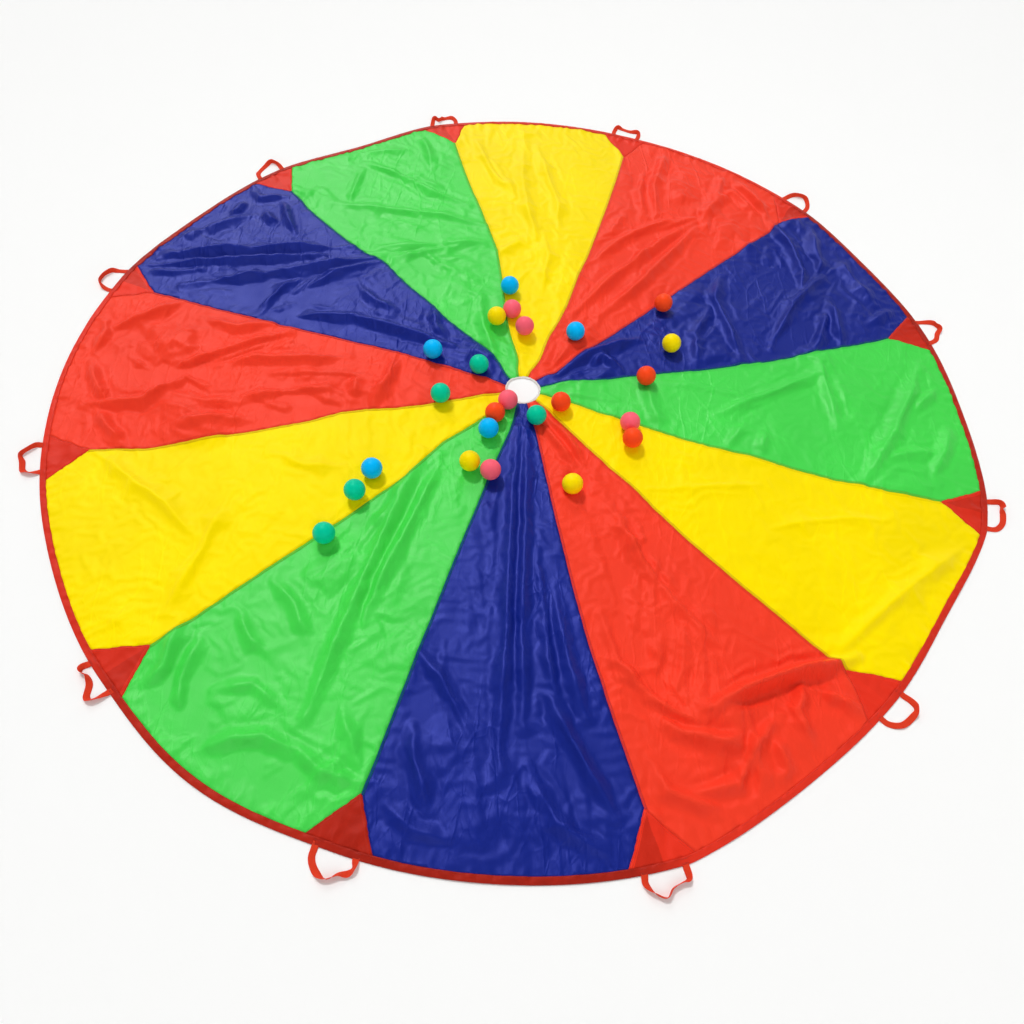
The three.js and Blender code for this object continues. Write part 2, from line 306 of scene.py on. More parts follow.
# Canopy lay: the sheet is spread by hand on the floor, so three corners lie drawn in, the seams
# wander and the cloth stands in folds. Lengths in its lists are millimetres: a fold is its height,
# its half width and the points of its crest.
DRAWN_IN = ((-45, 0.072), (15, 0.022), (135, 0.028))
DRAWN_IN_SPREAD = 27.5
HEM_OUT = (11, 34, 6, 17, 0, -30, 20, 15, -4, 1, -8, 6)
SEAM_WANDER_STEP = 0.1
SEAM_WANDER = (
    (9, 12, 7, 2, 3, 3, 2, 2, 3, 4, 4, 4, 4, 5, 6, 5),
    (4, 4, 0, -9, 10, 25, 21, 22, 22, 18, 16, 14, 13, 14, 11, 6),
    (-2, 2, 2, 6, 4, -10, -12, 4, 11, 17, 21, 24, 26, 25, 5, 0),
    (-14, -10, -10, -14, -16, -13, -9, -8, -2, 4, 4, 4, 9, 10, 9, 10),
    (-17, -30, -31, -23, -18, -26, -21, -24, -33, -8, 4, 8, 11, 13, 0, 0),
    (-18, -18, -16, -25, -37, -49, -59, -67, -61, -55, -49, -41, -35, -31, -27, -24),
    (-19, -20, -20, -35, -41, -39, -38, -44, -45, -44, -43, -42, -39, -37, -33, -28),
    (-22, -25, -19, -20, -25, -28, -30, -32, -35, -34, -35, -38, -43, -46, -45, -32),
    (2, 3, -11, -9, -16, -21, -29, -31, -30, -34, -33, -26, -19, -17, -12, 0),
    (-2, -2, -13, -18, -23, -28, -30, -27, -23, -30, -30, -30, -18, -18, -6, 4),
    (1, 0, -5, -10, -13, -10, -19, -22, -26, -24, -24, -19, -17, -19, -14, 0),
    (-1, 1, -4, -9, -13, -18, -21, -24, -27, -28, -27, -23, -20, -15, -11, -8),
)
FOLDS = (
    (26, 45, ((-10, -190), (-22, -600), (-18, -1000), (-22, -1480))),
    (24, 40, ((20, -200), (30, -600), (35, -1000), (50, -1320))),
    (20, 38, ((70, -700), (100, -900), (120, -1100), (150, -1250))),
    (24, 45, ((130, -820), (165, -1020), (205, -1180), (240, -1280))),
    (26, 45, ((110, -1180), (160, -1290), (240, -1430), (320, -1560))),
    (20, 45, ((60, -1430), (150, -1580), (320, -1680))),
    (18, 40, ((-290, -1090), (-210, -1180), (-110, -1340))),
    (24, 50, ((-280, -1330), (-265, -1430), (-210, -1560))),
    (16, 40, ((-330, -1560), (-250, -1620), (-150, -1640))),
    (18, 30, ((70, -150), (130, -240), (200, -340))),
    (18, 30, ((110, -140), (170, -220), (240, -330))),
    (22, 55, ((330, -520), (420, -700), (520, -860), (640, -1000))),
    (18, 45, ((420, -560), (470, -720), (560, -860))),
    (64, 46, ((1105, -1030), (1010, -1068), (900, -1095), (740, -1160), (610, -1235))),
    (30, 60, ((290, -930), (340, -1090), (430, -1200), (580, -1285))),
    (30, 50, ((440, -1240), (520, -1310), (620, -1330), (720, -1350))),
    (26, 45, ((830, -1230), (730, -1350), (680, -1450), (520, -1490))),
    (28, 45, ((920, -1120), (885, -1220), (910, -1320))),
    (24, 40, ((960, -1150), (1050, -1190), (1110, -1240))),
    (22, 40, ((800, -1290), (830, -1400), (780, -1470))),
    (20, 45, ((430, -1390), (470, -1480), (590, -1520), (640, -1560))),
    (30, 90, ((1060, -1010), (1200, -880), (1350, -755), (1600, -570))),
    (14, 90, ((480, -430), (700, -400), (900, -380))),
    (14, 90, ((900, -560), (1090, -515), (1300, -500))),
    (26, 50, ((740, -70), (900, 20), (1080, 115), (1190, 180))),
    (34, 60, ((1610, 270), (1520, 80), (1420, -100), (1310, -270), (1245, -345))),
    (20, 45, ((1190, 240), (1200, 60), (1205, -90))),
    (22, 45, ((1360, -235), (1450, -205), (1570, -190))),
    (16, 35, ((775, -215), (850, -100))),
    (16, 35, ((895, -245), (925, -120))),
    (22, 40, ((1640, 120), (1560, 50), (1530, 10))),
    (20, 50, ((480, 60), (500, -50), (530, -150))),
    (20, 45, ((1660, -40), (1600, -170), (1530, -300))),
    (14, 60, ((550, 80), (760, 60), (930, 10))),
    (34, 45, ((150, 110), (250, 190), (330, 240), (460, 300))),
    (28, 40, ((260, 130), (310, 200), (380, 130))),
    (30, 55, ((870, 230), (835, 400), (795, 560), (840, 730))),
    (22, 50, ((690, 190), (695, 350), (760, 480), (790, 600))),
    (38, 60, ((1000, 300), (1070, 440), (1130, 560), (1230, 680), (1340, 800))),
    (28, 45, ((1185, 310), (1230, 420), (1275, 540))),
    (30, 45, ((1300, 350), (1300, 480), (1290, 600))),
    (38, 55, ((1105, 1090), (1170, 920), (1195, 760), (1180, 610))),
    (26, 45, ((1290, 1090), (1280, 930), (1290, 830), (1250, 720))),
    (24, 60, ((1370, 900), (1410, 760), (1480, 590))),
    (18, 40, ((1440, 470), (1510, 530), (1580, 560))),
    (26, 45, ((190, 420), (400, 700), (610, 930), (770, 1070))),
    (26, 45, ((300, 420), (470, 610), (640, 850), (760, 1030))),
    (24, 50, ((250, 730), (430, 920), (600, 1040), (770, 1090))),
    (30, 55, ((575, 1080), (575, 1300), (625, 1480), (650, 1610))),
    (20, 45, ((510, 1080), (500, 1250), (530, 1420))),
    (24, 50, ((850, 1190), (890, 1330), (930, 1430))),
    (32, 50, ((1095, 1140), (1020, 1310), (960, 1410))),
    (24, 45, ((1040, 1150), (950, 1290), (880, 1290))),
    (20, 50, ((780, 1090), (870, 1220), (940, 1290))),
    (16, 50, ((280, 880), (360, 960), (440, 1100))),
    (22, 60, ((-50, 1580), (-50, 1300), (-15, 1050), (30, 880))),
    (22, 60, ((15, 1560), (70, 1320), (120, 1120), (125, 960))),
    (22, 55, ((-280, 1550), (-190, 1320), (-100, 1190))),
    (18, 55, ((-230, 1480), (-130, 1280), (-60, 1120))),
    (16, 60, ((-130, 770), (-20, 880))),
    (18, 60, ((60, 900), (80, 760), (60, 560))),
    (26, 50, ((-800, 1340), (-600, 1250), (-440, 1135), (-290, 1080))),
    (24, 55, ((-900, 1030), (-700, 1010), (-400, 990), (-190, 940))),
    (20, 45, ((-630, 1300), (-500, 1230), (-390, 1160))),
    (24, 45, ((-565, 1580), (-515, 1480), (-480, 1340))),
    (22, 55, ((-650, 760), (-420, 800), (-160, 830))),
    (26, 55, ((-590, 690), (-400, 760), (-270, 800))),
    (20, 70, ((-1010, 1330), (-830, 1410), (-600, 1450))),
    (18, 45, ((-800, 1280), (-815, 1160), (-830, 1040))),
    (20, 45, ((-190, 420), (-170, 310), (-120, 180))),
    (36, 50, ((-1660, 590), (-1400, 655), (-1100, 705), (-770, 750))),
    (26, 40, ((-1650, 545), (-1400, 585), (-1100, 640), (-860, 690))),
    (36, 55, ((-1430, 450), (-1200, 510), (-1000, 570), (-800, 640), (-640, 695))),
    (30, 55, ((-960, 450), (-820, 560), (-640, 670))),
    (28, 45, ((-960, 310), (-700, 320), (-500, 265), (-290, 200))),
    (26, 60, ((-1600, 680), (-1450, 780), (-1230, 920))),
    (20, 40, ((-1620, 520), (-1480, 520), (-1330, 560))),
    (22, 40, ((-1290, 1010), (-1320, 900))),
    (24, 40, ((-1120, 1010), (-1070, 890), (-1035, 820))),
    (24, 40, ((-1190, 940), (-1130, 860))),
    (22, 45, ((-1090, 330), (-1020, 460), (-960, 520))),
    (22, 45, ((-385, 410), (-365, 300), (-330, 240))),
    (18, 40, ((-700, 500), (-620, 420), (-540, 380))),
    (20, 40, ((-1280, 1090), (-1220, 1030), (-1120, 1060))),
    (28, 60, ((-1660, 160), (-1540, 240), (-1400, 350))),
    (30, 55, ((-1390, -20), (-1200, 80), (-1060, 160), (-950, 215))),
    (26, 50, ((-1180, 20), (-1050, 70), (-800, 80), (-690, 110))),
    (26, 45, ((-1600, -200), (-1400, -175), (-1280, -40), (-1200, -80))),
    (22, 50, ((-1080, -130), (-900, -85), (-750, -60), (-640, -90))),
    (24, 45, ((-640, 10), (-640, -100))),
    (22, 45, ((-560, -120), (-520, 10), (-510, 130))),
    (24, 40, ((-1560, -230), (-1490, -310), (-1420, -370))),
    (22, 40, ((-1660, 0), (-1590, -120), (-1540, -180))),
    (22, 40, ((-1700, 270), (-1650, 160), (-1660, 60))),
    (18, 45, ((-1350, -130), (-1180, -160), (-1050, -140))),
    (18, 45, ((-1300, 260), (-1150, 230), (-1020, 260))),
    (18, 45, ((-1250, -280), (-1130, -240), (-1000, -230))),
    (26, 80, ((-1530, -400), (-1350, -520), (-1200, -620), (-1050, -760))),
    (20, 70, ((-1000, -540), (-1040, -780), (-1100, -1010))),
    (14, 70, ((-880, -370), (-760, -420), (-640, -410))),
    (30, 50, ((-350, -320), (-420, -560), (-490, -830), (-550, -1090), (-600, -1320))),
    (26, 45, ((-290, -380), (-340, -560), (-430, -840), (-470, -1000))),
    (22, 40, ((-390, -420), (-450, -590), (-510, -700))),
    (26, 45, ((-620, -1410), (-520, -1480), (-410, -1500))),
    (26, 50, ((-890, -1440), (-800, -1400), (-710, -1385), (-600, -1430))),
    (24, 45, ((-1045, -1040), (-1055, -1190), (-1100, -1290))),
    (24, 45, ((-965, -1080), (-990, -1230), (-970, -1360))),
    (20, 45, ((-870, -1000), (-810, -1090), (-760, -1120))),
    (20, 45, ((-780, -880), (-700, -960), (-640, -1080))),
    (18, 45, ((-880, -1250), (-780, -1230), (-680, -1290))),
    (20, 45, ((-500, -1290), (-440, -1410), (-400, -1500))),
)
PULL_START = 0.5
PULL_REACH = 0.95
WANDER_ENDS = (0.07, 0.1, 0.03, 0.13)
FOLD_SCALE = 0.80
CREST_END_HEIGHT = 0.25
CREST_END_WIDTH = 0.6
CREST_END_SHARE = 0.3
LOWEST_CLOTH = 0.002
SLACK_HEIGHT = 0.0025
SLACK_LEVEL = 0.003
SLACK_WAVES = (0.07, 0.3, 60, 7)
RIM_FOLDS = 0.15
FOLDS_START = 0.07
FOLDS_RISE = 0.1
FOLDS_GAP = 0.02
FOLDS_FADE = 0.12


def eased(share):
    share = np.clip(share, 0, 1)
    return share * share * (3 - 2 * share)


def drawn_in(degrees):
    """How far the rim lies drawn in, at angles round the canopy."""
    depth = 0.0
    for seam, most in DRAWN_IN:
        away = np.minimum(1, np.abs((degrees - seam + 180) % 360 - 180) / DRAWN_IN_SPREAD)
        depth = depth + most * (1 - 1.5 * away ** 2 + 0.5 * away ** 3)
    return depth


def between_edges(reach, inner_start, inner_width, outer_gap, outer_width):
    """Nought at the vent and at the rim, and one on the cloth between them."""
    return eased((reach - inner_start) / inner_width) * eased((RIM_RADIUS - outer_gap - reach) / outer_width)


def spread(places):
    """Where places on the flat cut lie on the floor: corners drawn in, hems out, seams aside."""
    reach = np.hypot(*places.T)
    degrees = np.degrees(np.arctan2(places[:, 1], places[:, 0]))
    gores = (-90 - degrees) / 30
    hem_out = np.array(HEM_OUT)[np.round(gores).astype(int) % GORE_COUNT] / 1000
    depth = drawn_in(degrees) - hem_out * np.cos((gores - np.round(gores)) * math.pi) ** 2
    inner = places * (1 - depth * eased((reach - PULL_START) / PULL_REACH) / reach)[:, None]
    seams = (-105 - degrees) / 30
    before = np.floor(seams).astype(int)
    share = eased(seams - before)
    stops = SEAM_WANDER_STEP * np.arange(1, len(SEAM_WANDER[0]) + 1)
    lines = np.array([np.interp(np.hypot(*inner.T), stops, row) for row in SEAM_WANDER]) / 1000
    index = np.arange(len(places))
    aside = lines[before % GORE_COUNT, index] * (1 - share)
    aside += lines[(before + 1) % GORE_COUNT, index] * share
    aside *= between_edges(reach, *WANDER_ENDS)
    return inner + np.column_stack([-inner[:, 1], inner[:, 0]]) * (aside / reach)[:, None]


def fold_heights(places, narrowing=1.0, power=1.25):
    """Height of the main folds: sharp crests that fade towards both ends."""
    cubed = np.zeros(len(places))
    for height, half_width, crest in FOLDS:
        crest = np.array(crest) / 1000
        lengths = np.linalg.norm(np.diff(crest, axis=0), axis=1)
        starts = np.concatenate([[0], np.cumsum(lengths)])
        nearest, along = np.full(len(places), 9.0), np.zeros(len(places))
        for i, run in enumerate(np.diff(crest, axis=0)):
            share = np.clip((places - crest[i]) @ run / (run @ run), 0, 1)
            apart = np.linalg.norm(places - crest[i] - share[:, None] * run, axis=1)
            closer = apart < nearest
            nearest[closer] = apart[closer]
            along[closer] = (starts[i] + share * lengths[i])[closer] / starts[-1]
        fade = (1 - CREST_END_HEIGHT) * eased(along / CREST_END_SHARE)
        fade = CREST_END_HEIGHT + fade * eased((1 - along) / CREST_END_SHARE)
        reached = narrowing * half_width / 1000 * (CREST_END_WIDTH + (1 - CREST_END_WIDTH) * fade)
        side = np.clip(1 - nearest / reached, 0, 1)
        cubed += (FOLD_SCALE * height / 1000 * fade * side ** power) ** 3
    return cubed ** (1 / 3)


def rolling(places, shortest, longest, count, seed):
    """A soft uneven field round zero, made of crossing waves."""
    draw = np.random.default_rng(seed)
    field = np.zeros(len(places))
    for _ in range(count):
        length, turn = draw.uniform(shortest, longest), draw.uniform(0, 2 * math.pi)
        travel = places @ np.array([math.cos(turn), math.sin(turn)])
        field += draw.normal() * length * np.sin(2 * math.pi * travel / length + draw.uniform(0, 7))
    return field / field.std()


laid = spread(flat)
reach = np.hypot(*flat.T)
inward = RIM_FOLDS + (1 - RIM_FOLDS) * eased((RIM_RADIUS - FOLDS_GAP - reach) / FOLDS_FADE)
inward *= eased((reach - FOLDS_START) / FOLDS_RISE)
heights = fold_heights(laid)
heights += np.clip(SLACK_HEIGHT * rolling(laid, *SLACK_WAVES) + SLACK_LEVEL, 0, 1)
cloth = np.column_stack([laid, heights * inward + LOWEST_CLOTH])


# Canopy settling: a cloth simulation lets the folds slump under the cloth's own weight and buckle
# against the floor, with the hem and the vent held where they lie.
SETTLE_FRAMES = 10
HEM_HOLD = 0.016
VENT_HOLD = 0.004
CLOTH_EXCESS = 0.008
FABRIC = {
    "quality": 4, "mass": 0.15, "air_damping": 2,
    "tension_stiffness": 25, "compression_stiffness": 25, "shear_stiffness": 15, "bending_stiffness": 0.15,
    "tension_damping": 8, "compression_damping": 8, "shear_damping": 8, "bending_damping": 0.6,
    "shrink_min": -CLOTH_EXCESS, "shrink_max": -CLOTH_EXCESS, "vertex_group_mass": "held",
}
CLOTH_GAP = 0.0015
CLOTH_FRICTION = 30
GROUND_SIZE = 8
GROUND_GAP = 0.002
GROUND_FRICTION = 20


def settled(points, faces, held):
    """The sheet's points after it has slumped on the floor for a few frames."""
    mesh = bpy.data.meshes.new("settling_sheet")
    mesh.from_pydata(points.tolist(), [], faces.tolist())
    sheet = bpy.data.objects.new("settling_sheet", mesh)
    scene.collection.objects.link(sheet)
    group = sheet.vertex_groups.new(name="held")
    group.add([int(i) for i in np.flatnonzero(held)], 1.0, "REPLACE")
    modifier = sheet.modifiers.new("cloth", "CLOTH")
    for setting, value in FABRIC.items():
        setattr(modifier.settings, setting, value)
    modifier.collision_settings.distance_min = CLOTH_GAP
    modifier.collision_settings.friction = CLOTH_FRICTION
    modifier.point_cache.frame_end = SETTLE_FRAMES
    bpy.ops.mesh.primitive_plane_add(size=GROUND_SIZE)
    ground = bpy.context.object
    bpy.ops.object.modifier_add(type="COLLISION")
    ground.collision.thickness_outer = GROUND_GAP
    ground.collision.cloth_friction = GROUND_FRICTION
    for step in range(1, SETTLE_FRAMES + 1):
        scene.frame_set(step)
    result = sheet.evaluated_get(bpy.context.evaluated_depsgraph_get()).data
    moved = np.zeros(len(points) * 3)
    result.vertices.foreach_get("co", moved)
    for helper in (sheet, ground):
        bpy.data.objects.remove(helper)
    scene.frame_set(1)
    return moved.reshape(-1, 3)


held = (reach > RIM_RADIUS - HEM_HOLD) | (reach < CLOTH_START + VENT_HOLD)
cloth = settled(cloth, triangles, held)


# Canopy finish: the settled sheet is refined once, crumpled into the small facets of cloth that
# has been packed in a bag, and eased under each ball so that the ball rests on it.
EDGE_MARGIN = 0.001
LOWEST_FINISHED = 0.0012
FINISH_ENDS = (0.08, 0.15, 0.03, 0.08)
CREST_SHARE = 0.42
CREST_NARROWING = 0.7
GORE_STOPS = np.repeat(np.arange(GORE_COUNT), 2) + np.tile([-0.4, 0.4], GORE_COUNT)
GORE_CRUMPLE = (1.0, 0.95, 0.32, 1.5, 1.25, 0.95, 0.35, 1.25, 1.2, 0.75, 0.25, 1.7)
UNEVEN_WAVES = (0.2, 0.6, 40, 11)
UNEVEN_MIDDLE, UNEVEN_SWING, LEAST_UNEVEN, MOST_UNEVEN = 0.55, 0.65, 0.08, 1.7
FACET_FIELD = 6.4
FACET_JITTER = 0.45
LONG_FACETS = (0.085, 0.0038, 3)
LONG_STRETCH = (0.28, 0.9)
WIDE_FACETS = (0.16, 0.0050, 5)
SMALL_FACETS = (0.05, 0.0019, 4)
STREAK_FACETS = (0.034, 0.0022, 6)
STREAK_STRETCH = 0.18
STREAK_SHIFT = 0.5
STREAK_OFF_SEAM = 0.03
STREAK_SLANT = (8, -14, 25, -28, 12, 30, -10, 22, 18, -24, 30, -38)
CRISPNESS = 0.65
CRISP_FROM = 0.85
CRISP_ROUNDS = 20
PUCKER_HEIGHT = 0.0016
PUCKER_REACH = 0.035
PUCKER_STEPS = 1400
PUCKER_WINDOW = 5
BALL_RADIUS = 0.0375
BALL_CLEARANCE = 0.0004
SEAT_WIDTH = 0.03
SEAT_REACH = 0.12
BALLS = sorted(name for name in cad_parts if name.startswith("ball_"))


def sides_of(faces):
    return np.concatenate([faces[:, [0, 1]], faces[:, [1, 2]], faces[:, [2, 0]]])


def halved(points, faces, fixed_ends):
    """Splits each triangle in four and rounds the result; fixed points keep their places."""
    pairs, index = np.unique(np.sort(sides_of(faces), axis=1), axis=0, return_inverse=True)
    ab, bc, ca = len(points) + index.reshape(3, -1)
    a, b, c = faces.T
    points = np.vstack([points, points[pairs].mean(1)])
    fixed = np.concatenate([fixed_ends, fixed_ends[pairs].all(1)])
    faces = np.concatenate([
        np.column_stack(corners) for corners in ((a, ab, ca), (ab, b, bc), (ca, bc, c), (ab, bc, ca))])
    total = np.zeros_like(points)
    for i in range(3):
        here, left, other = faces[:, i], faces[:, (i + 1) % 3], faces[:, (i + 2) % 3]
        pulled = 0.25 * points[here] + 0.375 * (points[left] + points[other])
        for axis in range(points.shape[1]):
            total[:, axis] += np.bincount(here, pulled[:, axis], len(points))
    rounded = total / np.bincount(faces.ravel(), minlength=len(points))[:, None]
    return np.where(fixed[:, None], points, rounded), faces


def facets(places, spacing, height, seed):
    """Heights of flat facets with sharp creases between them."""
    draw = np.random.default_rng(seed)
    count = int(FACET_FIELD / spacing)
    columns, rows = np.meshgrid(np.arange(count), np.arange(count))
    knots = (np.stack([columns, rows], -1).reshape(-1, 2) - count / 2) * spacing
    knots = knots + draw.uniform(-FACET_JITTER, FACET_JITTER, knots.shape) * spacing
    rises = draw.normal(0, height, len(knots))
    _, _, faces, *_ = delaunay_2d_cdt([Vector(knot) for knot in knots], [], [], 0, 1e-7)
    tree = BVHTree.FromPolygons(np.column_stack([knots, rises]).tolist(), faces)
    down = Vector((0, 0, -1))
    return np.array([tree.ray_cast(Vector((x, y, 1)), down)[0].z for x, y in places])


def crisped(heights, faces):
    """How far each crest and hollow stands out from the soft lie around it."""
    sides = sides_of(faces)
    here, there = np.concatenate([sides, sides[:, ::-1]]).T
    soft = heights
    for _ in range(CRISP_ROUNDS):
        soft = 0.5 * (soft + np.bincount(here, soft[there], len(heights)) / np.bincount(here))
    return heights - soft


def by_gore(angles, values):
    """A value for each gore, blended over the seams, at angles round the canopy."""
    places = (-math.pi / 2 - angles) / (2 * GORE_HALF_ANGLE)
    return np.interp(places, GORE_STOPS, np.repeat(values, 2), period=GORE_COUNT)


def puckering(steps, seed):
    """Random rise and fall of gathered cloth, one value for each step, three times over."""
    drawn = np.random.default_rng(seed).normal(0, 1, steps)
    return np.convolve(np.tile(drawn, 3), np.hanning(PUCKER_WINDOW), "same")


edge_points = (reach > RIM_RADIUS - RIM_DIP - EDGE_MARGIN) | (reach < CLOTH_START + EDGE_MARGIN)
flat_and_cloth, triangles = halved(np.column_stack([flat, cloth]), triangles, edge_points)
region_of, gore_of = np.tile(region_of, 4), np.tile(gore_of, 4)
flat, cloth = flat_and_cloth[:, :2], flat_and_cloth[:, 2:]
reach = np.hypot(*flat.T)
inward = between_edges(reach, *FINISH_ENDS)
cloth[:, 2] += CREST_SHARE * inward * fold_heights(cloth[:, :2], CREST_NARROWING, 1.0)
turn = np.arctan2(flat[:, 1], flat[:, 0])
gore_place = (-math.pi / 2 - turn) / (2 * GORE_HALF_ANGLE)
crumple = by_gore(turn, GORE_CRUMPLE)
unevenness = UNEVEN_MIDDLE + UNEVEN_SWING * rolling(flat, *UNEVEN_WAVES)
unevenness = np.clip(unevenness, LEAST_UNEVEN, MOST_UNEVEN) * crumple * inward
gore_here = np.round(gore_place).astype(int) % GORE_COUNT
streak_turn = gore_middle(gore_here) + np.radians(STREAK_SLANT)[gore_here]
lengthwise = flat[:, 0] * np.cos(streak_turn) + flat[:, 1] * np.sin(streak_turn)
crosswise = flat[:, 1] * np.cos(streak_turn) - flat[:, 0] * np.sin(streak_turn)
streaks = np.column_stack([STREAK_STRETCH * (lengthwise + STREAK_SHIFT * gore_here), crosswise])
long_way = np.column_stack([LONG_STRETCH[0] * reach, LONG_STRETCH[1] * turn])
from_seam = reach * np.sin(GORE_HALF_ANGLE * (1 - 2 * np.abs(gore_place - np.round(gore_place))))
off_seam = eased(from_seam / STREAK_OFF_SEAM)
for places, kind, share in ((long_way, LONG_FACETS, 1), (flat, WIDE_FACETS, 1),
                            (flat, SMALL_FACETS, 1), (streaks, STREAK_FACETS, off_seam)):
    cloth[:, 2] += share * unevenness * facets(places, *kind)
crispness = CRISPNESS * np.clip(crumple - CRISP_FROM, 0, 1)
cloth[:, 2] += crispness * inward * crisped(cloth[:, 2], triangles)
around = (turn / (2 * math.pi) % 1 + 1) * PUCKER_STEPS
gathered = np.interp(around, np.arange(3 * PUCKER_STEPS), puckering(PUCKER_STEPS, 9))
from_hem = np.maximum(0, RIM_RADIUS - HEM_WIDTH - RIM_DIP / 2 - reach)
gathered *= np.exp(-(from_hem / PUCKER_REACH) ** 2) * (reach < RIM_RADIUS - HEM_WIDTH)
cloth[:, 2] = np.maximum(cloth[:, 2] + PUCKER_HEIGHT * gathered, LOWEST_FINISHED)
for name in BALLS:
    low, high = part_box(name)
    ball = np.array((low + high) / 2)
    apart = np.linalg.norm(cloth[:, :2] - ball[:2], axis=1)
    near = apart < SEAT_REACH
    apart = apart[near]
    seat = high.z - 2 * BALL_RADIUS - BALL_CLEARANCE
    seated = cloth[near, 2] + (seat - cloth[near, 2]) * np.exp(-(apart / SEAT_WIDTH) ** 2)
    under = np.sqrt(np.maximum(BALL_RADIUS ** 2 - apart ** 2, 0))
    ceiling = np.where(apart < BALL_RADIUS, high.z - BALL_RADIUS - under - BALL_CLEARANCE, np.inf)
    cloth[near, 2] = np.minimum(seated, ceiling)


# Gores: thin glossy woven polyester in blue, green, yellow and red, three times round. Each gore is
# cut out of the settled sheet on its own seams and keeps the flat cut as its map.
CLOTH_THICKNESS = 0.0006
GORE_COLOURS = (("blue", "#071d7c"), ("green", "#3ed648"), ("yellow", "#fee200"), ("red", "#f43e26"))
GORE_GLOSS = (0.85, 0.5, 0.45, 0.5)
GORE_GLOSS_TINT = (0.8, 0.3, 1.0, 0.88)
GORE_CREASING = (0.855, 0.7125, 0.4275, 0.95)
WEAVE_PITCH = 0.0009


def add_node(tree, kind, *inputs, **settings):
    """A shader node; each input is a plain value, a socket to link, or None to leave it."""
    made = tree.nodes.new("ShaderNode" + kind)
    for key, value in settings.items():
        setattr(made, key, value)
    for socket, value in zip(made.inputs, inputs):
        if isinstance(value, bpy.types.NodeSocket):
            tree.links.new(value, socket)
        elif value is not None:
            socket.default_value = value
    return made


def mixed(tree, factor, first, second):
    """Colour socket that goes from the first colour to the second by a factor."""
    unused = [None] * 5
    return add_node(tree, "Mix", factor, *unused, first, second, data_type="RGBA").outputs[2]


def maths(tree, operation, *values):
    return add_node(tree, "Math", *values, operation=operation).outputs[0]


def ranged(tree, value, low, high, to_low, to_high):
    """A value brought from one range to another, held inside it."""
    return add_node(tree, "MapRange", value, low, high, to_low, to_high).outputs[0]


def noise(tree, place, scale, detail, roughness):
    """Cloudy values round a half, finer with a larger scale."""
    return add_node(tree, "TexNoise", place, None, scale, detail, roughness).outputs[0]


def weave(tree, across, along, pitch):
    """Height of a plain weave, from places across and along the cloth in metres."""
    bumps = []
    for place in (across, along):
        turn = maths(tree, "MULTIPLY", place, 2 * math.pi / pitch)
        bumps.append(maths(tree, "SINE", turn))
    return maths(tree, "MULTIPLY", *bumps)


def tinted(colour, factor):
    return [c * factor for c in linear(colour)[:3]] + [1.0]


def toned(tree, value, low, high, colour, dark, bright):
    """One colour from a darker to a brighter tone, as a value goes from low to high."""
    share = ranged(tree, value, low, high, 0.0, 1.0)
    return mixed(tree, share, tinted(colour, dark), tinted(colour, bright))


def raised(tree, shader, *layers):
    """Relief laid over relief: each layer is its strength, its depth in metres and its height."""
    normal = None
    for strength, depth, height in layers:
        normal = add_node(tree, "Bump", strength, depth, None, height, normal).outputs[0]
    tree.links.new(normal, shader.inputs["Normal"])


def own_map(tree):
    """The piece's own map in metres, and its places across and along the cloth."""
    cut = add_node(tree, "UVMap", uv_map="cut").outputs[0]
    across, along, _ = add_node(tree, "SeparateXYZ", cut).outputs
    return cut, across, along


def from_slanted_edge(tree, across, along, half_angle):
    """Distance from the nearer slanted edge of a wedge of cloth, from its own map."""
    spare = maths(tree, "MULTIPLY", along, math.sin(half_angle))
    used = maths(tree, "MULTIPLY", maths(tree, "ABSOLUTE", across), math.cos(half_angle))
    return maths(tree, "SUBTRACT", spare, used)


def crease_lines(tree, place, turn, stretch, scale, width):
    """Long fine creases in one direction, as marks from nought to one."""
    lengthened = add_node(tree, "Mapping", place, None, (0, 0, turn), (1, stretch, 1)).outputs[0]
    cells = add_node(tree, "TexVoronoi", lengthened, None, scale, feature="DISTANCE_TO_EDGE")
    return ranged(tree, cells.outputs["Distance"], 0.0, width, 1.0, 0.0)


def own_gloss(shader, colour, strength, share):
    """Gloss drawn from white towards the surface's own colour."""
    own = np.array(linear(colour)[:3])
    shader.inputs["Specular IOR Level"].default_value = strength
    shader.inputs["Specular Tint"].default_value = [*(1 - share + share * own / own.max()), 1.0]


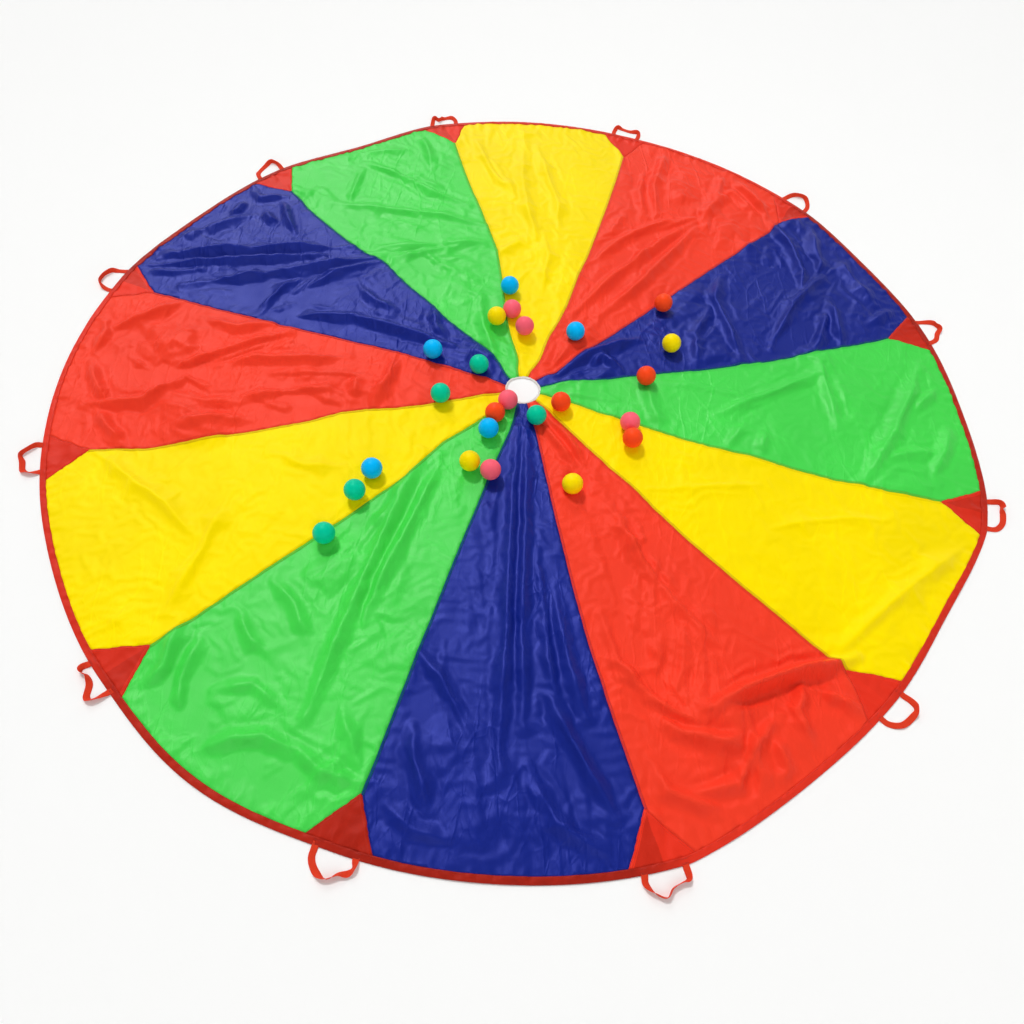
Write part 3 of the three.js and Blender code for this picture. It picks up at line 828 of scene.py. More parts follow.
def gore_cloth(name, colour, creasing, gloss, tint):
    """Calendered polyester: fine weave, packing creases with painted sheen along them, doubled cloth along
    both seams.
    """
    material, tree, shader = new_material(name, colour, 0.5)
    _, across, along = own_map(tree)
    place = add_node(tree, "UVMap", uv_map="sheet").outputs[0]
    wander = add_node(tree, "TexNoise", place, None, 6.0, 3.0, 0.5).outputs["Color"]
    shifted = add_node(tree, "VectorMath", wander, (0.04, 0.04, 0), operation="MULTIPLY").outputs[0]
    bent = add_node(tree, "VectorMath", place, shifted, operation="ADD").outputs[0]
    patchy = noise(tree, place, 2.2, 4.0, 0.6)
    where = ranged(tree, patchy, 0.44, 0.62, 0.1, 1.0)
    long_lines = maths(tree, "MULTIPLY", crease_lines(tree, bent, 0.5, 0.35, 11.0, 0.06), where)
    short_lines = maths(tree, "MULTIPLY", crease_lines(tree, bent, -0.7, 0.5, 26.0, 0.09), where)
    lines = maths(tree, "ADD", long_lines, maths(tree, "MULTIPLY", short_lines, 0.45))
    soft = noise(tree, bent, 16.0, 4.0, 0.5)
    cells = add_node(tree, "TexVoronoi", bent, None, 32.0).outputs["Distance"]
    crinkles = maths(tree, "MULTIPLY", maths(tree, "MULTIPLY", cells, where), 0.7)
    relief = maths(tree, "MULTIPLY_ADD", lines, 0.7, maths(tree, "MULTIPLY_ADD", soft, 0.25, crinkles))
    from_seam = from_slanted_edge(tree, across, along, GORE_HALF_ANGLE)
    doubled = ranged(tree, from_seam, 0.0105, 0.0115, 1.0, 0.0)
    tone = toned(tree, patchy, 0.3, 0.7, colour, 0.94, 1.05)
    # Painted sheen: the crease lines are painted lighter, for light catching their ridges.
    crease_sheen = mixed(tree, maths(tree, "MULTIPLY", lines, 0.12), tone, tinted(colour, 1.4))
    seamed = mixed(tree, maths(tree, "MULTIPLY", doubled, 0.4), crease_sheen, tinted(colour, 0.72))
    tree.links.new(seamed, shader.inputs["Base Color"])
    tree.links.new(ranged(tree, soft, 0.3, 0.7, 0.43, 0.53), shader.inputs["Roughness"])
    threads = weave(tree, across, along, WEAVE_PITCH)
    raised(tree, shader, (0.10, 0.0002, threads), (creasing, 0.0024, relief))
    own_gloss(shader, colour, gloss, tint)
    return material


def new_piece(name, points, faces, material):
    mesh = bpy.data.meshes.new(name)
    mesh.from_pydata(points.tolist(), [], faces)
    mesh.materials.append(material)
    mesh.shade_smooth()
    piece = bpy.data.objects.new(name, mesh)
    scene.collection.objects.link(piece)
    return piece


def points_at_corners(piece):
    """Number of the point at each corner of the piece's faces."""
    corner_points = np.zeros(len(piece.data.loops), np.int32)
    piece.data.loops.foreach_get("vertex_index", corner_points)
    return corner_points


def give_map(piece, coordinates, name):
    """Puts a coordinate pair of each point in a map of the piece."""
    layer = piece.data.uv_layers.new(name=name)
    at_corners = np.asarray(coordinates, np.float32)[points_at_corners(piece)]
    layer.data.foreach_set("uv", at_corners.ravel())


def thicken(piece, thickness):
    """Gives a sheet its thickness below the side that shows."""
    modifier = piece.modifiers.new("thickness", "SOLIDIFY")
    modifier.thickness = thickness
    modifier.offset = -1
    bpy.context.view_layer.objects.active = piece
    bpy.ops.object.modifier_apply(modifier="thickness")


def cut_from_sheet(name, chosen, material, middle, start=0.0):
    """Part of the settled sheet as a piece, mapped across and along its own middle line."""
    used, faces = np.unique(triangles[chosen], return_inverse=True)
    piece = new_piece(name, cloth[used], faces.reshape(-1, 3).tolist(), material)
    along = np.array([math.cos(middle), math.sin(middle)])
    across = np.array([-math.sin(middle), math.cos(middle)])
    give_map(piece, np.column_stack([flat[used] @ across, flat[used] @ along - start]), "cut")
    give_map(piece, flat[used], "sheet")
    thicken(piece, CLOTH_THICKNESS)
    return piece


def places_on_cut(piece):
    """Where each point of a piece of the sheet is on the flat cut, from the piece's own map."""
    corner_points = points_at_corners(piece)
    corner_places = np.zeros(2 * len(corner_points))
    piece.data.uv_layers["sheet"].data.foreach_get("uv", corner_places)
    places = np.zeros((len(piece.data.vertices), 2))
    places[corner_points] = corner_places.reshape(-1, 2)
    return places


def lift_with_rim(piece, places):
    """Puts the piece's points at their places on the flat cut, bakes in its transform, then puts the points
    back where they lay, so the piece keeps its shape."""
    lying = np.zeros(3 * len(places))
    piece.data.vertices.foreach_get("co", lying)
    piece.data.vertices.foreach_set("co", np.column_stack([places, np.zeros(len(places))]).ravel())
    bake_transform(piece)
    piece.data.vertices.foreach_set("co", lying)
    piece.data.update()


cloths = [gore_cloth(f"{colour}_polyester", hex_colour, *looks) for (colour, hex_colour), *looks
          in zip(GORE_COLOURS, GORE_CREASING, GORE_GLOSS, GORE_GLOSS_TINT)]
gores = []
for gore in range(GORE_COUNT):
    colour = GORE_COLOURS[gore % 4][0]
    node = f"gore_{gore + 1:02d}_{colour}"
    chosen = (gore_of == gore) & (region_of == GORE_CLOTH)
    piece = cut_from_sheet(f"cloth_{node}", chosen, cloths[gore % 4], gore_middle(gore))
    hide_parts(node)
    lift_with_rim(piece, places_on_cut(piece))
    gores.append(piece)


# Seams: neighbouring gores are folded into each other and sewn down flat, so a doubled strip nine
# millimetres wide lies along each seam, held by two rows of stitches.
SEAM_WIDTH = 0.009
SEAM_START = 0.0705
SEAM_OVERLAP = 0.004
SEAM_STEP = 0.007
SEAM_ROWS = (0.0018, 0.0072)
STRIP_PROFILE = ((0.0, 0.0), (0.06, 0.7), (0.5, 1.0), (0.94, 0.7), (1.0, 0.0), (0.94, -0.5), (0.06, -0.5))
STRIP_HEIGHT = 0.0008
STITCH_LENGTH = 0.0026
STITCH_PITCH = 0.0036
STITCH_RADIUS = 0.0004
STITCH_RINGS = ((-0.5, 0.45, -0.35), (-0.3, 1.0, 0.35), (0.3, 1.0, 0.35), (0.5, 0.45, -0.35))
STITCH_SIDES = 4
NEXT_TO = 0.0001
# Painted shade: each thread colour is its gore's colour painted darker, for the shade along the stitch
# lines.
SHADED_THREAD_COLOURS = ("#1a2168", "#2f9a38", "#c9a80a", "#b02a1c")


def unit(ways):
    return ways / np.linalg.norm(ways, axis=1)[:, None]


def travelled_along(line):
    """Distance from the start of a line to each of its points."""
    return np.concatenate([[0], np.cumsum(np.linalg.norm(np.diff(line, axis=0), axis=1))])


flat_points = np.column_stack([flat, np.zeros(len(flat))])
flat_tree = BVHTree.FromPolygons(flat_points.tolist(), triangles.tolist())
first, second, third = (cloth[corner] for corner in triangles.T)
face_normals = np.cross(second - first, third - first)
cloth_normals = unit(np.column_stack([
    sum(np.bincount(corner, rise, len(cloth)) for corner in triangles.T) for rise in face_normals.T]))


def on_cloth(places):
    """Points and upward directions of the settled cloth at places on the flat cut."""
    found = [flat_tree.find_nearest(Vector((x, y, 0)))[2] for x, y in places]
    corners = triangles[found]
    a, b, c = (flat[corner] for corner in corners.T)
    across, along, inside = b - a, c - a, places - a
    whole = across[:, 0] * along[:, 1] - across[:, 1] * along[:, 0]
    second = (inside[:, 0] * along[:, 1] - inside[:, 1] * along[:, 0]) / whole
    third = (across[:, 0] * inside[:, 1] - across[:, 1] * inside[:, 0]) / whole
    shares = np.column_stack([1 - second - third, second, third])[..., None]
    return (cloth[corners] * shares).sum(1), (cloth_normals[corners] * shares).sum(1)


def evenly_along(line, pitch):
    """Places along a line at an even pitch, with the direction of the line at each."""
    travelled = travelled_along(line)
    stops = np.arange(pitch / 2, travelled[-1], pitch)
    places, ahead, behind = (
        np.column_stack([np.interp(stops + shift, travelled, column) for column in line.T])
        for shift in (0, NEXT_TO, -NEXT_TO))
    return places, unit(ahead - behind)


def beside(line, inset):
    """A line moved sideways, to the left of its own direction."""
    ways = unit(np.gradient(line, axis=0))
    return line + inset * np.column_stack([-ways[:, 1], ways[:, 0]])


def lofted(rings, closed):
    """Faces that join rings of points into a tube, and close its ends unless it runs round."""
    count, around = rings.shape[:2]
    index = np.arange(count * around).reshape(count, around)
    if closed:
        index = np.vstack([index, index[:1]])
    here, there = index[:-1], index[1:]
    quads = np.stack([here, np.roll(here, -1, 1), np.roll(there, -1, 1), there], -1)
    faces = quads.reshape(-1, 4).tolist()
    if not closed:
        faces += [index[0][::-1].tolist(), index[-1].tolist()]
    return faces


def tube_piece(name, rings, material, closed=False):
    return new_piece(name, rings.reshape(-1, 3), lofted(rings, closed), material)


def map_tube(piece, across, along):
    """Maps a tube in metres, round each of its rings and from ring to ring."""
    give_map(piece, np.column_stack([np.tile(across, len(along)), np.repeat(along, len(across))]), "cut")


def strip_along(line, width):
    """Rings of a doubled strip that lies on the cloth to the left of a line on the flat cut."""
    rings = []
    for share, rise in STRIP_PROFILE:
        points, normals = on_cloth(beside(line, share * width))
        rings.append(points + normals * rise * STRIP_HEIGHT)
    return np.stack(rings, 1)


def thread_rings(middles, runs, normals, length):
    """Rings of short threads that dip at both ends, from their middles and directions."""
    sides = np.cross(normals, runs)
    rings = []
    for travel, swell, rise in STITCH_RINGS:
        centre = middles + runs * travel * length + normals * rise * STITCH_RADIUS
        radius = swell * STITCH_RADIUS
        rings.append(np.stack([centre + sides * radius, centre + normals * radius,
                               centre - sides * radius, centre - normals * radius], 1))
    return np.stack(rings, 1)


def stitches(line, lift, pitch=STITCH_PITCH, length=STITCH_LENGTH):
    """Rings of a row of stitches that lies on the cloth along a line on the flat cut."""
    places, ways = evenly_along(line, pitch)
    points, normals = on_cloth(places)
    ahead, _ = on_cloth(places + ways * length / 2)
    behind, _ = on_cloth(places - ways * length / 2)
    return thread_rings(points + normals * lift, unit(ahead - behind), normals, length)


def stitch_places(line):
    """Places on the flat cut of all the points of a row of stitches."""
    places, ways = evenly_along(line, STITCH_PITCH)
    rings = [places + ways * travel * STITCH_LENGTH for travel, _, _ in STITCH_RINGS]
    return np.repeat(np.stack(rings, 1).reshape(-1, 2), STITCH_SIDES, axis=0)


def stitch_piece(name, rows, material):
    """All the rows of stitches of one piece as one mesh."""
    all_rows = np.concatenate(rows)
    one = np.array(lofted(all_rows[0], False))
    shift = np.arange(len(all_rows))[:, None, None] * len(STITCH_RINGS) * STITCH_SIDES
    return new_piece(name, all_rows.reshape(-1, 3), (one + shift).reshape(-1, 4).tolist(), material)


def thread(name, colour):
    """Twisted polyester thread: fine slanting ply marks with painted shade in their hollows, and a little
    gloss.
    """
    material, tree, shader = new_material(name, colour, 0.45)
    ply = noise(tree, add_node(tree, "TexCoord").outputs["Object"], 2400.0, 2.0, 0.5)
    # Painted shade: the thread is painted darker in the hollows of its ply marks and lighter on their tops,
    # following the same relief as its bump.
    tree.links.new(toned(tree, ply, 0.35, 0.65, colour, 0.75, 1.15), shader.inputs["Base Color"])
    raised(tree, shader, (0.4, 0.0001, ply))
    return material


def seam_cloth(name, colour, other):
    """The doubled strip of two gores: one colour shows faintly through the other."""
    material, tree, shader = new_material(name, colour, 0.5)
    place = add_node(tree, "TexCoord").outputs["Object"]
    mottle = noise(tree, place, 60.0, 3.0, 0.5)
    through = ranged(tree, mottle, 0.3, 0.7, 0.08, 0.22)
    tone = mixed(tree, through, tinted(colour, 0.86), tinted(other, 0.6))
    tree.links.new(tone, shader.inputs["Base Color"])
    x, y, _ = add_node(tree, "SeparateXYZ", place).outputs
    raised(tree, shader, (0.15, 0.0002, weave(tree, x, y, WEAVE_PITCH)), (0.3, 0.0006, mottle))
    own_gloss(shader, colour, 0.3, 0.9)
    return material


seam_threads = [thread(f"{colour}_thread", hex_colour) for (colour, _), hex_colour
                in zip(GORE_COLOURS, SHADED_THREAD_COLOURS)]
strips = [seam_cloth(f"{colour}_seam", hex_colour, other) for (colour, hex_colour), (_, other)
          in zip(GORE_COLOURS, GORE_COLOURS[1:] + GORE_COLOURS[:1])]
seam_pieces = []
for gore in range(GORE_COUNT):
    line = polar(even_steps(SEAM_START, PATCH_APEX + SEAM_OVERLAP, SEAM_STEP), seam_angle(gore))
    strip = tube_piece(f"seam_strip_{gore + 1:02d}", strip_along(line, SEAM_WIDTH), strips[gore % 4])
    strip_lines = [beside(line, share * SEAM_WIDTH) for share, _ in STRIP_PROFILE]
    strip_places = np.stack(strip_lines, 1).reshape(-1, 2)
    row_lines = [beside(line, inset) for inset in SEAM_ROWS]
    rows = [stitches(row, STRIP_HEIGHT) for row in row_lines]
    sewn = stitch_piece(f"seam_stitches_{gore + 1:02d}", rows, seam_threads[gore % 4])
    sewn_places = np.concatenate([stitch_places(row) for row in row_lines])
    for piece, places in ((strip, strip_places), (sewn, sewn_places)):
        lift_with_rim(piece, places)
    seam_pieces.append([strip, sewn])


# Corner patches: a triangle of red polyester sewn over the corner where two gores meet the hem. The cloth is
# thin, so it looks darker over blue and green, and its turned edges look brighter. Each patch is also
# painted lighter or darker as a whole: painted sheen on those at the back left, painted shade on those at
# the front left and the right.
TRIM_RED = "#ee3520"
UNDER_TONE = {"blue": 0.66, "green": 0.72, "yellow": 0.9, "red": 0.94}
# Painted light and shade of each patch as a whole: above one is painted sheen, below one is painted shade.
PATCH_LIGHT_AND_SHADE = (0.62, 0.82, 0.84, 1.05, 1.15, 1.05, 1.0, 0.95, 0.85, 0.86, 1.0, 1.0)
PATCH_MARGIN = 1.02
PATCH_ROWS = (0.0022, 0.0085)
PATCH_ROW_STEPS = np.linspace(0.05, 0.98, 40)[:, None]
PATCH_ROW_LIFT = 0.0002


def trim_cloth(name, colour, tones, share_map=None):
    """Red trim polyester: weave, faint creases, and two tones where two colours lie under it; on the patches
    the tones also carry painted light and shade.
    """
    material, tree, shader = new_material(name, colour, 0.5)
    cut, across, along = own_map(tree)
    crumple = noise(tree, cut, 26.0, 5.0, 0.55)
    if share_map:
        side = add_node(tree, "Attribute", attribute_name=share_map).outputs["Fac"]
    else:
        uneven = maths(tree, "MULTIPLY_ADD", crumple, 0.010, across)
        side = ranged(tree, uneven, 0.0035, 0.0065, 0.0, 1.0)
    under = mixed(tree, side, tinted(colour, tones[0]), tinted(colour, tones[1]))
    shade = mixed(tree, ranged(tree, crumple, 0.3, 0.7, 0.0, 0.16), under, tinted(colour, 1.0))
    from_edge = from_slanted_edge(tree, across, along, math.atan2(PATCH_WIDTH / 2, PATCH_DEPTH))
    turned_in = ranged(tree, from_edge, 0.0100, 0.0112, 1.0, 0.0)
    edged = mixed(tree, turned_in, shade, tinted(colour, min(1.0, 1.15 * max(tones))))
    tree.links.new(edged, shader.inputs["Base Color"])
    tree.links.new(ranged(tree, crumple, 0.3, 0.7, 0.42, 0.54), shader.inputs["Roughness"])
    raised(tree, shader, (0.10, 0.0002, weave(tree, across, along, WEAVE_PITCH)), (0.3, 0.0020, crumple))
    own_gloss(shader, colour, 0.4, 0.85)
    return material


red_thread = seam_threads[3]
patch_rows = []
for seam, tone in enumerate(PATCH_LIGHT_AND_SHADE):
    right_side, left_side = GORE_COLOURS[seam % 4][0], GORE_COLOURS[(seam + 1) % 4][0]
    # Each tone is the patch's painted light and shade times how dark the colour under that side makes it.
    tones = tone * UNDER_TONE[left_side], tone * UNDER_TONE[right_side]
    paint = trim_cloth(f"patch_{seam + 1:02d}_over_{left_side}_and_{right_side}", TRIM_RED, tones)
    angle = seam_angle(seam)
    toward = np.abs((turn - angle + math.pi) % (2 * math.pi) - math.pi)
    mine = toward[triangles].max(1) < PATCH_MARGIN * PATCH_HALF_ANGLE
    mine &= region_of == PATCH_CLOTH
    patch = cut_from_sheet(f"corner_patch_{seam + 1:02d}", mine, paint, angle, PATCH_APEX)
    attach(patch, "rim")
    apex = polar(PATCH_APEX, angle)
    for side in (-1, 1):
        foot = polar(rim_at(PATCH_HALF_ANGLE) - HEM_WIDTH, angle + side * PATCH_HALF_ANGLE)
        line = apex + (foot - apex) * PATCH_ROW_STEPS
        for inset in PATCH_ROWS:
            patch_rows.append(stitches(beside(line, -side * inset), PATCH_ROW_LIFT))
patch_sewing = stitch_piece("patch_stitches", patch_rows, red_thread)
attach(patch_sewing, "rim")


# Hem: a band of red polyester folded over the raw edge all round the canopy, puckered a little by
# its single row of stitches, with bar tacks where the handle ends are caught in it.
HEM_PROFILE = (
    (0.0222, 0.0003), (0.0218, 0.0011), (0.0180, 0.0016), (0.0110, 0.0020), (0.0040, 0.0018),
    (0.0010, 0.0012), (0.0000, 0.0003), (0.0012, -0.0006), (0.0110, -0.0008), (0.0210, -0.0006))
HEM_STEP = 0.006
HEM_PUCKER = 0.22
HEM_PUCKER_FROM = 0.0012
HEM_MAP_START = 1.0
HEM_RED = "#e43522"
HEM_TONES = {"blue": 0.40, "green": 0.52, "yellow": 0.82, "red": 0.98}
HEM_ROW_INSET = 0.0190
HEM_ROW_STEP = 0.005
HEM_ROW_LIFT = 0.0015
HANDLE_SPACING = 0.120
TACK_INSETS = (0.004, 0.007, 0.017)
TACK_WIDTH = 0.019
TACK_STEPS = np.linspace(-0.5, 0.5, 9)
TACK_SEWING = {"lift": 0.0019, "pitch": 0.0016, "length": 0.0024}
CORNER_INSETS = np.linspace(0.0205, 0.0015, 8)
CORNER_SEWING = {"lift": 0.0017, "pitch": 0.0030}


def hem_line(inset, step):
    """Places on the flat cut along the hem, at an inset from its outer edge."""
    count = int(2 * math.pi * RIM_RADIUS / step)
    angles = np.linspace(-math.pi, math.pi, count, endpoint=False)
    return polar(rim_at(from_nearest_seam(angles)) - inset, angles)


hem_edge = hem_line(0, HEM_STEP)
hem_steps = len(hem_edge)
pucker = HEM_PUCKER * puckering(hem_steps, 21)[hem_steps:2 * hem_steps]
hem_rings = []
for inset, rise in HEM_PROFILE:
    points, normals = on_cloth(hem_line(inset, HEM_STEP))
    swell = rise * (1 + pucker * (rise > HEM_PUCKER_FROM))
    hem_rings.append(points + normals * swell[:, None])
hem_rings = np.stack(hem_rings, 1)[:, ::-1]
hem_paint = trim_cloth("hem_polyester", HEM_RED, (0.0, 1.0), "hem_tone")
hem = tube_piece("hem", hem_rings, hem_paint, closed=True)
map_tube(hem, [inset for inset, _ in HEM_PROFILE][::-1], np.arange(hem_steps) * HEM_STEP + HEM_MAP_START)
gore_tones = [HEM_TONES[GORE_COLOURS[gore % 4][0]] for gore in range(GORE_COUNT)]
hem_tone = by_gore(np.arctan2(hem_edge[:, 1], hem_edge[:, 0]), gore_tones)
shares = hem.data.attributes.new("hem_tone", "FLOAT", "POINT")
shares.data.foreach_set("value", np.repeat(hem_tone, len(HEM_PROFILE)).astype(np.float32))
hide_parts("rim_hem_and_patches")
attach(hem, "rim")

hem_rows = [stitches(hem_line(HEM_ROW_INSET, HEM_ROW_STEP), HEM_ROW_LIFT)]
for seam in range(GORE_COUNT):
    for side in (-1, 1):
        middle = seam_angle(seam) + side * HANDLE_SPACING / 2 / RIM_RADIUS
        for inset in TACK_INSETS:
            tack = polar(RIM_RADIUS - inset, middle + TACK_STEPS * TACK_WIDTH / RIM_RADIUS)
            hem_rows.append(stitches(tack, **TACK_SEWING))
        corner = seam_angle(seam) + side * PATCH_HALF_ANGLE
        hem_rows.append(stitches(polar(rim_at(PATCH_HALF_ANGLE) - CORNER_INSETS, corner), **CORNER_SEWING))
hem_sewing = stitch_piece("hem_stitches", hem_rows, red_thread)
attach(hem_sewing, "rim")


# Vent binding: a white woven tape folded over the edge of the hole in the middle and sewn down
# with one row of white stitches near its outer edge.
VENT_RADIUS = 0.060
VENT_WAVES = ((0.0009, 3, 0.6), (0.0006, 5, 2.0))
BINDING_PROFILE = (
    (0.0000, 0.0008), (0.0004, 0.0019), (0.0016, 0.0026), (0.0050, 0.0027), (0.0088, 0.0024),
    (0.0102, 0.0017), (0.0105, 0.0010), (0.0060, 0.0004), (0.0010, 0.0003))
BINDING_STEPS = 120
BINDING_RIPPLES = ((0.10, 29, 0), (0.08, 17, 1))
BINDING_RIPPLES_FROM = 0.0015
BINDING_LIFT = 0.0006
BINDING_WHITE = "#f1ece6"
BINDING_RIBS = 0.0011
BINDING_STITCHES = 132
BINDING_STITCH_LENGTH = 0.0022
BINDING_ROW_INSET = 0.0078
BINDING_ROW_HEIGHT = 0.0033
THREAD_WHITE = "#e4ded6"


def woven_tape(name, colour, pitch, strength):
    """Narrow woven tape: ribs across it with painted shade between them, from its own map in metres."""
    material, tree, shader = new_material(name, colour, 0.68)
    cut, across, along = own_map(tree)
    ribs = weave(tree, across, along, pitch)
    slub = noise(tree, cut, 180.0, 4.0, 0.6)
    # Painted shade: the tape is painted darker in the hollows of its weave and lighter on its ribs,
    # following the same relief as its bump.
    tone = toned(tree, ribs, -1.0, 1.0, colour, 0.80, 1.06)
    soiled = mixed(tree, ranged(tree, slub, 0.45, 0.75, 0.0, 0.35), tone, tinted(colour, 0.82))
    tree.links.new(soiled, shader.inputs["Base Color"])
    raised(tree, shader, (strength, 0.0004, maths(tree, "ADD", ribs, maths(tree, "MULTIPLY", slub, 0.8))))
    own_gloss(shader, colour, 0.25, 0.8)
    return material


def waves_round(turns, waves):
    """Waves added up round the vent: each is its height, how many go round, and its start."""
    return sum(height * np.sin(count * turns + start) for height, count, start in waves)


turns = np.linspace(0, 2 * math.pi, BINDING_STEPS, endpoint=False)
edge = VENT_RADIUS + waves_round(turns, VENT_WAVES)
ripples = waves_round(turns, BINDING_RIPPLES)
binding_rings = []
for inset, rise in BINDING_PROFILE:
    heights = rise * (1 + ripples * (rise > BINDING_RIPPLES_FROM)) + BINDING_LIFT
    binding_rings.append(np.column_stack([polar(edge + inset, turns), heights]))
binding_tape = woven_tape("white_binding_tape", BINDING_WHITE, BINDING_RIBS, 0.5)
binding = tube_piece("vent_binding_tape", np.stack(binding_rings, 1), binding_tape, closed=True)
map_tube(binding, [inset for inset, _ in BINDING_PROFILE], turns * VENT_RADIUS)
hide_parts("vent_binding")
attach(binding, "canopy")

turns = np.linspace(0, 2 * math.pi, BINDING_STITCHES, endpoint=False)
row = polar(VENT_RADIUS + BINDING_ROW_INSET + waves_round(turns, VENT_WAVES), turns)
level = np.zeros(BINDING_STITCHES)
rings = thread_rings(
    np.column_stack([row, level + BINDING_ROW_HEIGHT]),
    np.column_stack([-np.sin(turns), np.cos(turns), level]),
    np.column_stack([level, level, level + 1]), BINDING_STITCH_LENGTH)
binding_sewing = stitch_piece("vent_stitches", [rings], thread("white_thread", THREAD_WHITE))
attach(binding_sewing, "canopy")


# Gore sheets: each gore is one flat cut of cloth that lies on the floor with what is sewn on it. The pieces
# sewn on each gore are listed here, once the seams, the trim and the binding are there.
for gore, piece in enumerate(gores):
    sewn_on = list(seam_pieces[gore])
    if gore == 0:
        sewn_on += [hem, hem_sewing, binding, binding_sewing, patch_sewing]


# Handles: red polyester webbing. Both ends of each loop are caught flat between the layers of the
# hem, and the loop lies as it fell, kinked from being packed: each point of its lay is millimetres
# sideways and outward from the seam's end, with the degrees that the webbing is turned on edge.
WEBBING_WIDTH = 0.020
WEBBING_THICKNESS = 0.0016
WEBBING_PROFILE = np.array((
    (-1.0, -0.35), (-0.93, -1.0), (-0.5, -0.9), (0.0, -0.85), (0.5, -0.9), (0.93, -1.0), (1.0, -0.35),
    (1.0, 0.35), (0.93, 1.0), (0.5, 0.9), (0.0, 0.85), (-0.5, 0.9), (-0.93, 1.0), (-1.0, 0.35)))
WEBBING_RED = "#f04428"
WEBBING_RIBS = 0.0022
HANDLE_LENGTH = 207
HANDLE_FOOT = 60
HANDLE_TUCKS = (10, 5)
HANDLE_STEPS = 10
HANDLE_FITTING_STEPS = 12
HEM_MIDDLE = 0.0022
HEM_SLOPE = 12
HANDLE_LAYS = (
    ((-55, 32, 0), (-30, 58, 10), (2, 66, 85), (28, 46, 60), (52, 38, 20), (63, 22, 55)),
    ((-64, 18, 30), (-50, 26, 85), (-30, 18, 70), (0, 24, 25), (28, 44, 10), (48, 38, 60)),
    ((-56, 20, 70), (-42, 44, 90), (-24, 60, 75), (6, 54, 25), (40, 52, 10), (56, 34, 55)),
    ((-50, 36, 5), (-36, 58, 70), (-8, 72, 90), (26, 70, 85), (44, 52, 50), (56, 28, 10)),
    ((-58, 36, 75), (-48, 66, 85), (-16, 62, 20), (24, 48, 0), (48, 32, 10)),
    ((-60, 24, 5), (-44, 42, 30), (-14, 44, 10), (6, 34, 80), (22, 28, 90), (40, 46, 55)),
    ((-60, 34, 5), (-50, 54, 65), (-14, 56, 10), (26, 64, 5), (50, 62, 60), (60, 36, 5)),
    ((-50, 28, 0), (-28, 50, 10), (0, 60, 80), (24, 54, 90), (46, 34, 50)),
    ((-46, 28, 0), (-16, 46, 5), (6, 64, 40), (26, 56, 90), (44, 48, 40), (56, 24, 5)),
    ((-50, 30, 0), (-20, 48, 5), (14, 48, 40), (32, 42, 85), (54, 50, 40), (66, 38, 50)),
    ((-54, 30, 0), (-26, 58, 10), (16, 66, 5), (48, 60, 70), (62, 38, 20)),
    ((-62, 20, 20), (-42, 42, 85), (-16, 54, 90), (6, 38, 85), (34, 32, 85), (56, 28, 50)),
)


def rim_radius(angles):
    """Radius of the hem's outer edge where it lies, at angles near a seam."""
    return rim_at(from_nearest_seam(angles)) - drawn_in(np.degrees(angles))


def through_points(points, steps):
    """A smooth line through points, with the first and last direction carried on."""
    points = np.array(points, float)
    padded = np.vstack([2 * points[0] - points[1], points, 2 * points[-1] - points[-2]])
    line = []
    for before, start, end, after in zip(padded, padded[1:], padded[2:], padded[3:]):
        for t in np.arange(steps) / steps:
            bend = 2 * before - 5 * start + 4 * end - after + t * (3 * (start - end) + after - before)
            line.append(start + 0.5 * t * (end - before + t * bend))
    return np.array(line + [points[-1]])


webbing = woven_tape("red_webbing", WEBBING_RED, WEBBING_RIBS, 0.8)
upward = np.array([0.0, 0.0, 1.0])
half_width, half_thickness = WEBBING_WIDTH / 2, WEBBING_THICKNESS / 2
for seam, lay in enumerate(HANDLE_LAYS):
    angle = seam_angle(seam)
    lay = through_points([(-HANDLE_FOOT, 0, 0), *lay, (HANDLE_FOOT, 0, 0)], HANDLE_STEPS)
    for _ in range(HANDLE_FITTING_STEPS):
        lay[:, 1] *= (HANDLE_LENGTH / travelled_along(lay[:, :2])[-1]) ** 2
    tucked_start = [(-HANDLE_FOOT, -depth, 0) for depth in HANDLE_TUCKS]
    tucked_end = [(HANDLE_FOOT, -depth, 0) for depth in reversed(HANDLE_TUCKS)]
    lay = np.vstack([tucked_start, lay, tucked_end])
    aside, outward = lay[:, 0] / 1000, lay[:, 1] / 1000
    angles = angle + aside / RIM_RADIUS
    turns = np.radians(np.clip(lay[:, 2], 0, 90))
    under_hem = np.clip(1 - np.maximum(lay[:, 1], 0) / HEM_SLOPE, 0, 1)
    heights = half_width * np.sin(turns) + half_thickness * np.cos(turns) + HEM_MIDDLE * under_hem
    centres = np.column_stack([polar(rim_radius(angles) + outward, angles), heights])
    sideways = np.cross(unit(np.gradient(centres * (1, 1, 0), axis=0)), upward)
    flatness, on_edge = np.cos(turns)[:, None], np.sin(turns)[:, None]
    across = half_width * (sideways * flatness + upward * on_edge)
    through = half_thickness * (upward * flatness - sideways * on_edge)
    rings = np.stack([centres + across * a + through * b for a, b in WEBBING_PROFILE], 1)
    strap = tube_piece(f"webbing_loop_{seam + 1:02d}", rings, webbing)
    map_tube(strap, half_width * WEBBING_PROFILE[:, 0], travelled_along(centres))
    node = f"handle_{seam + 1:02d}"
    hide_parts(node)
    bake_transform(strap)


# Play balls: hollow balls blow moulded in polyethylene. Each has the faint parting line of its
# mould, a small nub where it was blown, and shallow dents from play.
BALL_COLOURS = {
    "blue": "#00baff", "pink": "#ff6579", "yellow": "#ffe200", "red": "#ff4c1e", "green": "#00ca9e"}
BALL_SEGMENTS = 64
BALL_RINGS = 32
PARTING_LINE = (0.00022, 0.012)
BLOWING_NUB = (0.0005, 0.0012)
DENT_COUNT = 3
DENT_DEPTHS = (0.0001, 0.0004)
DENT_WIDTH = 0.05


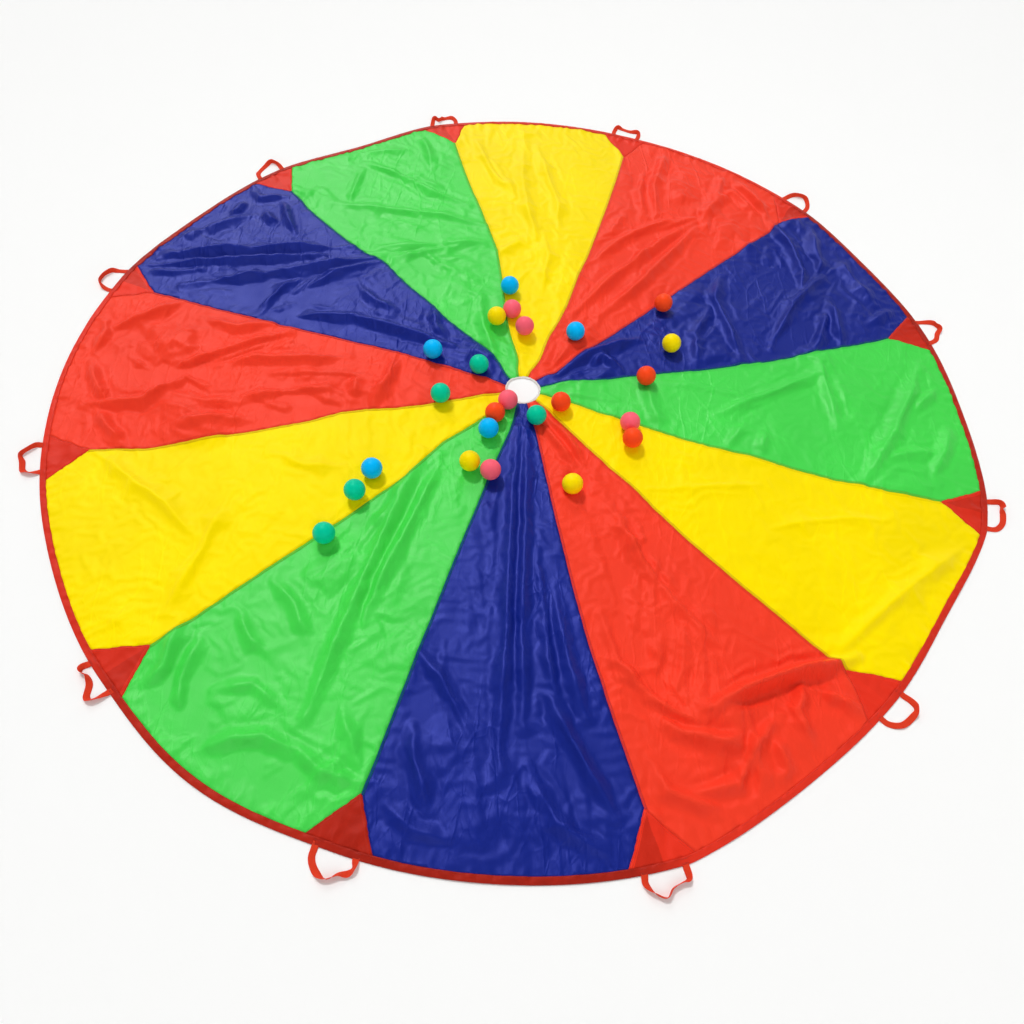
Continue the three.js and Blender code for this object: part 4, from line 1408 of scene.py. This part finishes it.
def ball_plastic(name, colour):
    """Satin polyethylene: slight orange peel, scuffs and uneven tint."""
    material, tree, shader = new_material(name, colour, 0.42)
    place = add_node(tree, "TexCoord").outputs["Object"]
    cloud = noise(tree, place, 22.0, 3.0, 0.5)
    tree.links.new(toned(tree, cloud, 0.3, 0.7, colour, 0.93, 1.05), shader.inputs["Base Color"])
    scuff = noise(tree, place, 160.0, 6.0, 0.65)
    tree.links.new(ranged(tree, scuff, 0.35, 0.7, 0.34, 0.52), shader.inputs["Roughness"])
    raised(tree, shader, (0.15, 0.0003, noise(tree, place, 420.0, 2.0, 0.5)))
    own_gloss(shader, colour, 0.3, 0.85)
    return material


def swelling(away, height, width):
    return height * np.exp(-(away / width) ** 2)


plastics = {colour: ball_plastic(f"{colour}_ball_plastic", value) for colour, value in BALL_COLOURS.items()}
draw = np.random.default_rng(17)
for name in BALLS:
    colour = name.split("_")[-1]
    low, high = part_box(name)
    middle = Vector(((low.x + high.x) / 2, (low.y + high.y) / 2, high.z - BALL_RADIUS))
    bpy.ops.object.select_all(action="DESELECT")
    bpy.ops.mesh.primitive_uv_sphere_add(segments=BALL_SEGMENTS, ring_count=BALL_RINGS, radius=BALL_RADIUS)
    ball = bpy.context.object
    ball.name = f"play_{name}"
    points = np.zeros(len(ball.data.vertices) * 3)
    ball.data.vertices.foreach_get("co", points)
    points = points.reshape(-1, 3)
    ways = points / BALL_RADIUS
    inward = -swelling(ways[:, 2], *PARTING_LINE) - swelling(ways[:, 2] - 1, *BLOWING_NUB)
    for _ in range(DENT_COUNT):
        dent = draw.normal(0, 1, 3)
        dent /= np.linalg.norm(dent)
        inward += swelling(1 - ways @ dent, draw.uniform(*DENT_DEPTHS), DENT_WIDTH)
    ball.data.vertices.foreach_set("co", (points - ways * inward[:, None]).ravel())
    turn = Vector(draw.normal(0, 1, 3)).to_track_quat("Z", "Y").to_matrix().to_4x4()
    ball.data.transform(Matrix.Translation(middle) @ turn)
    ball.data.shade_smooth()
    ball.data.materials.append(plastics[colour])
    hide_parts(name)
    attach(ball, name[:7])
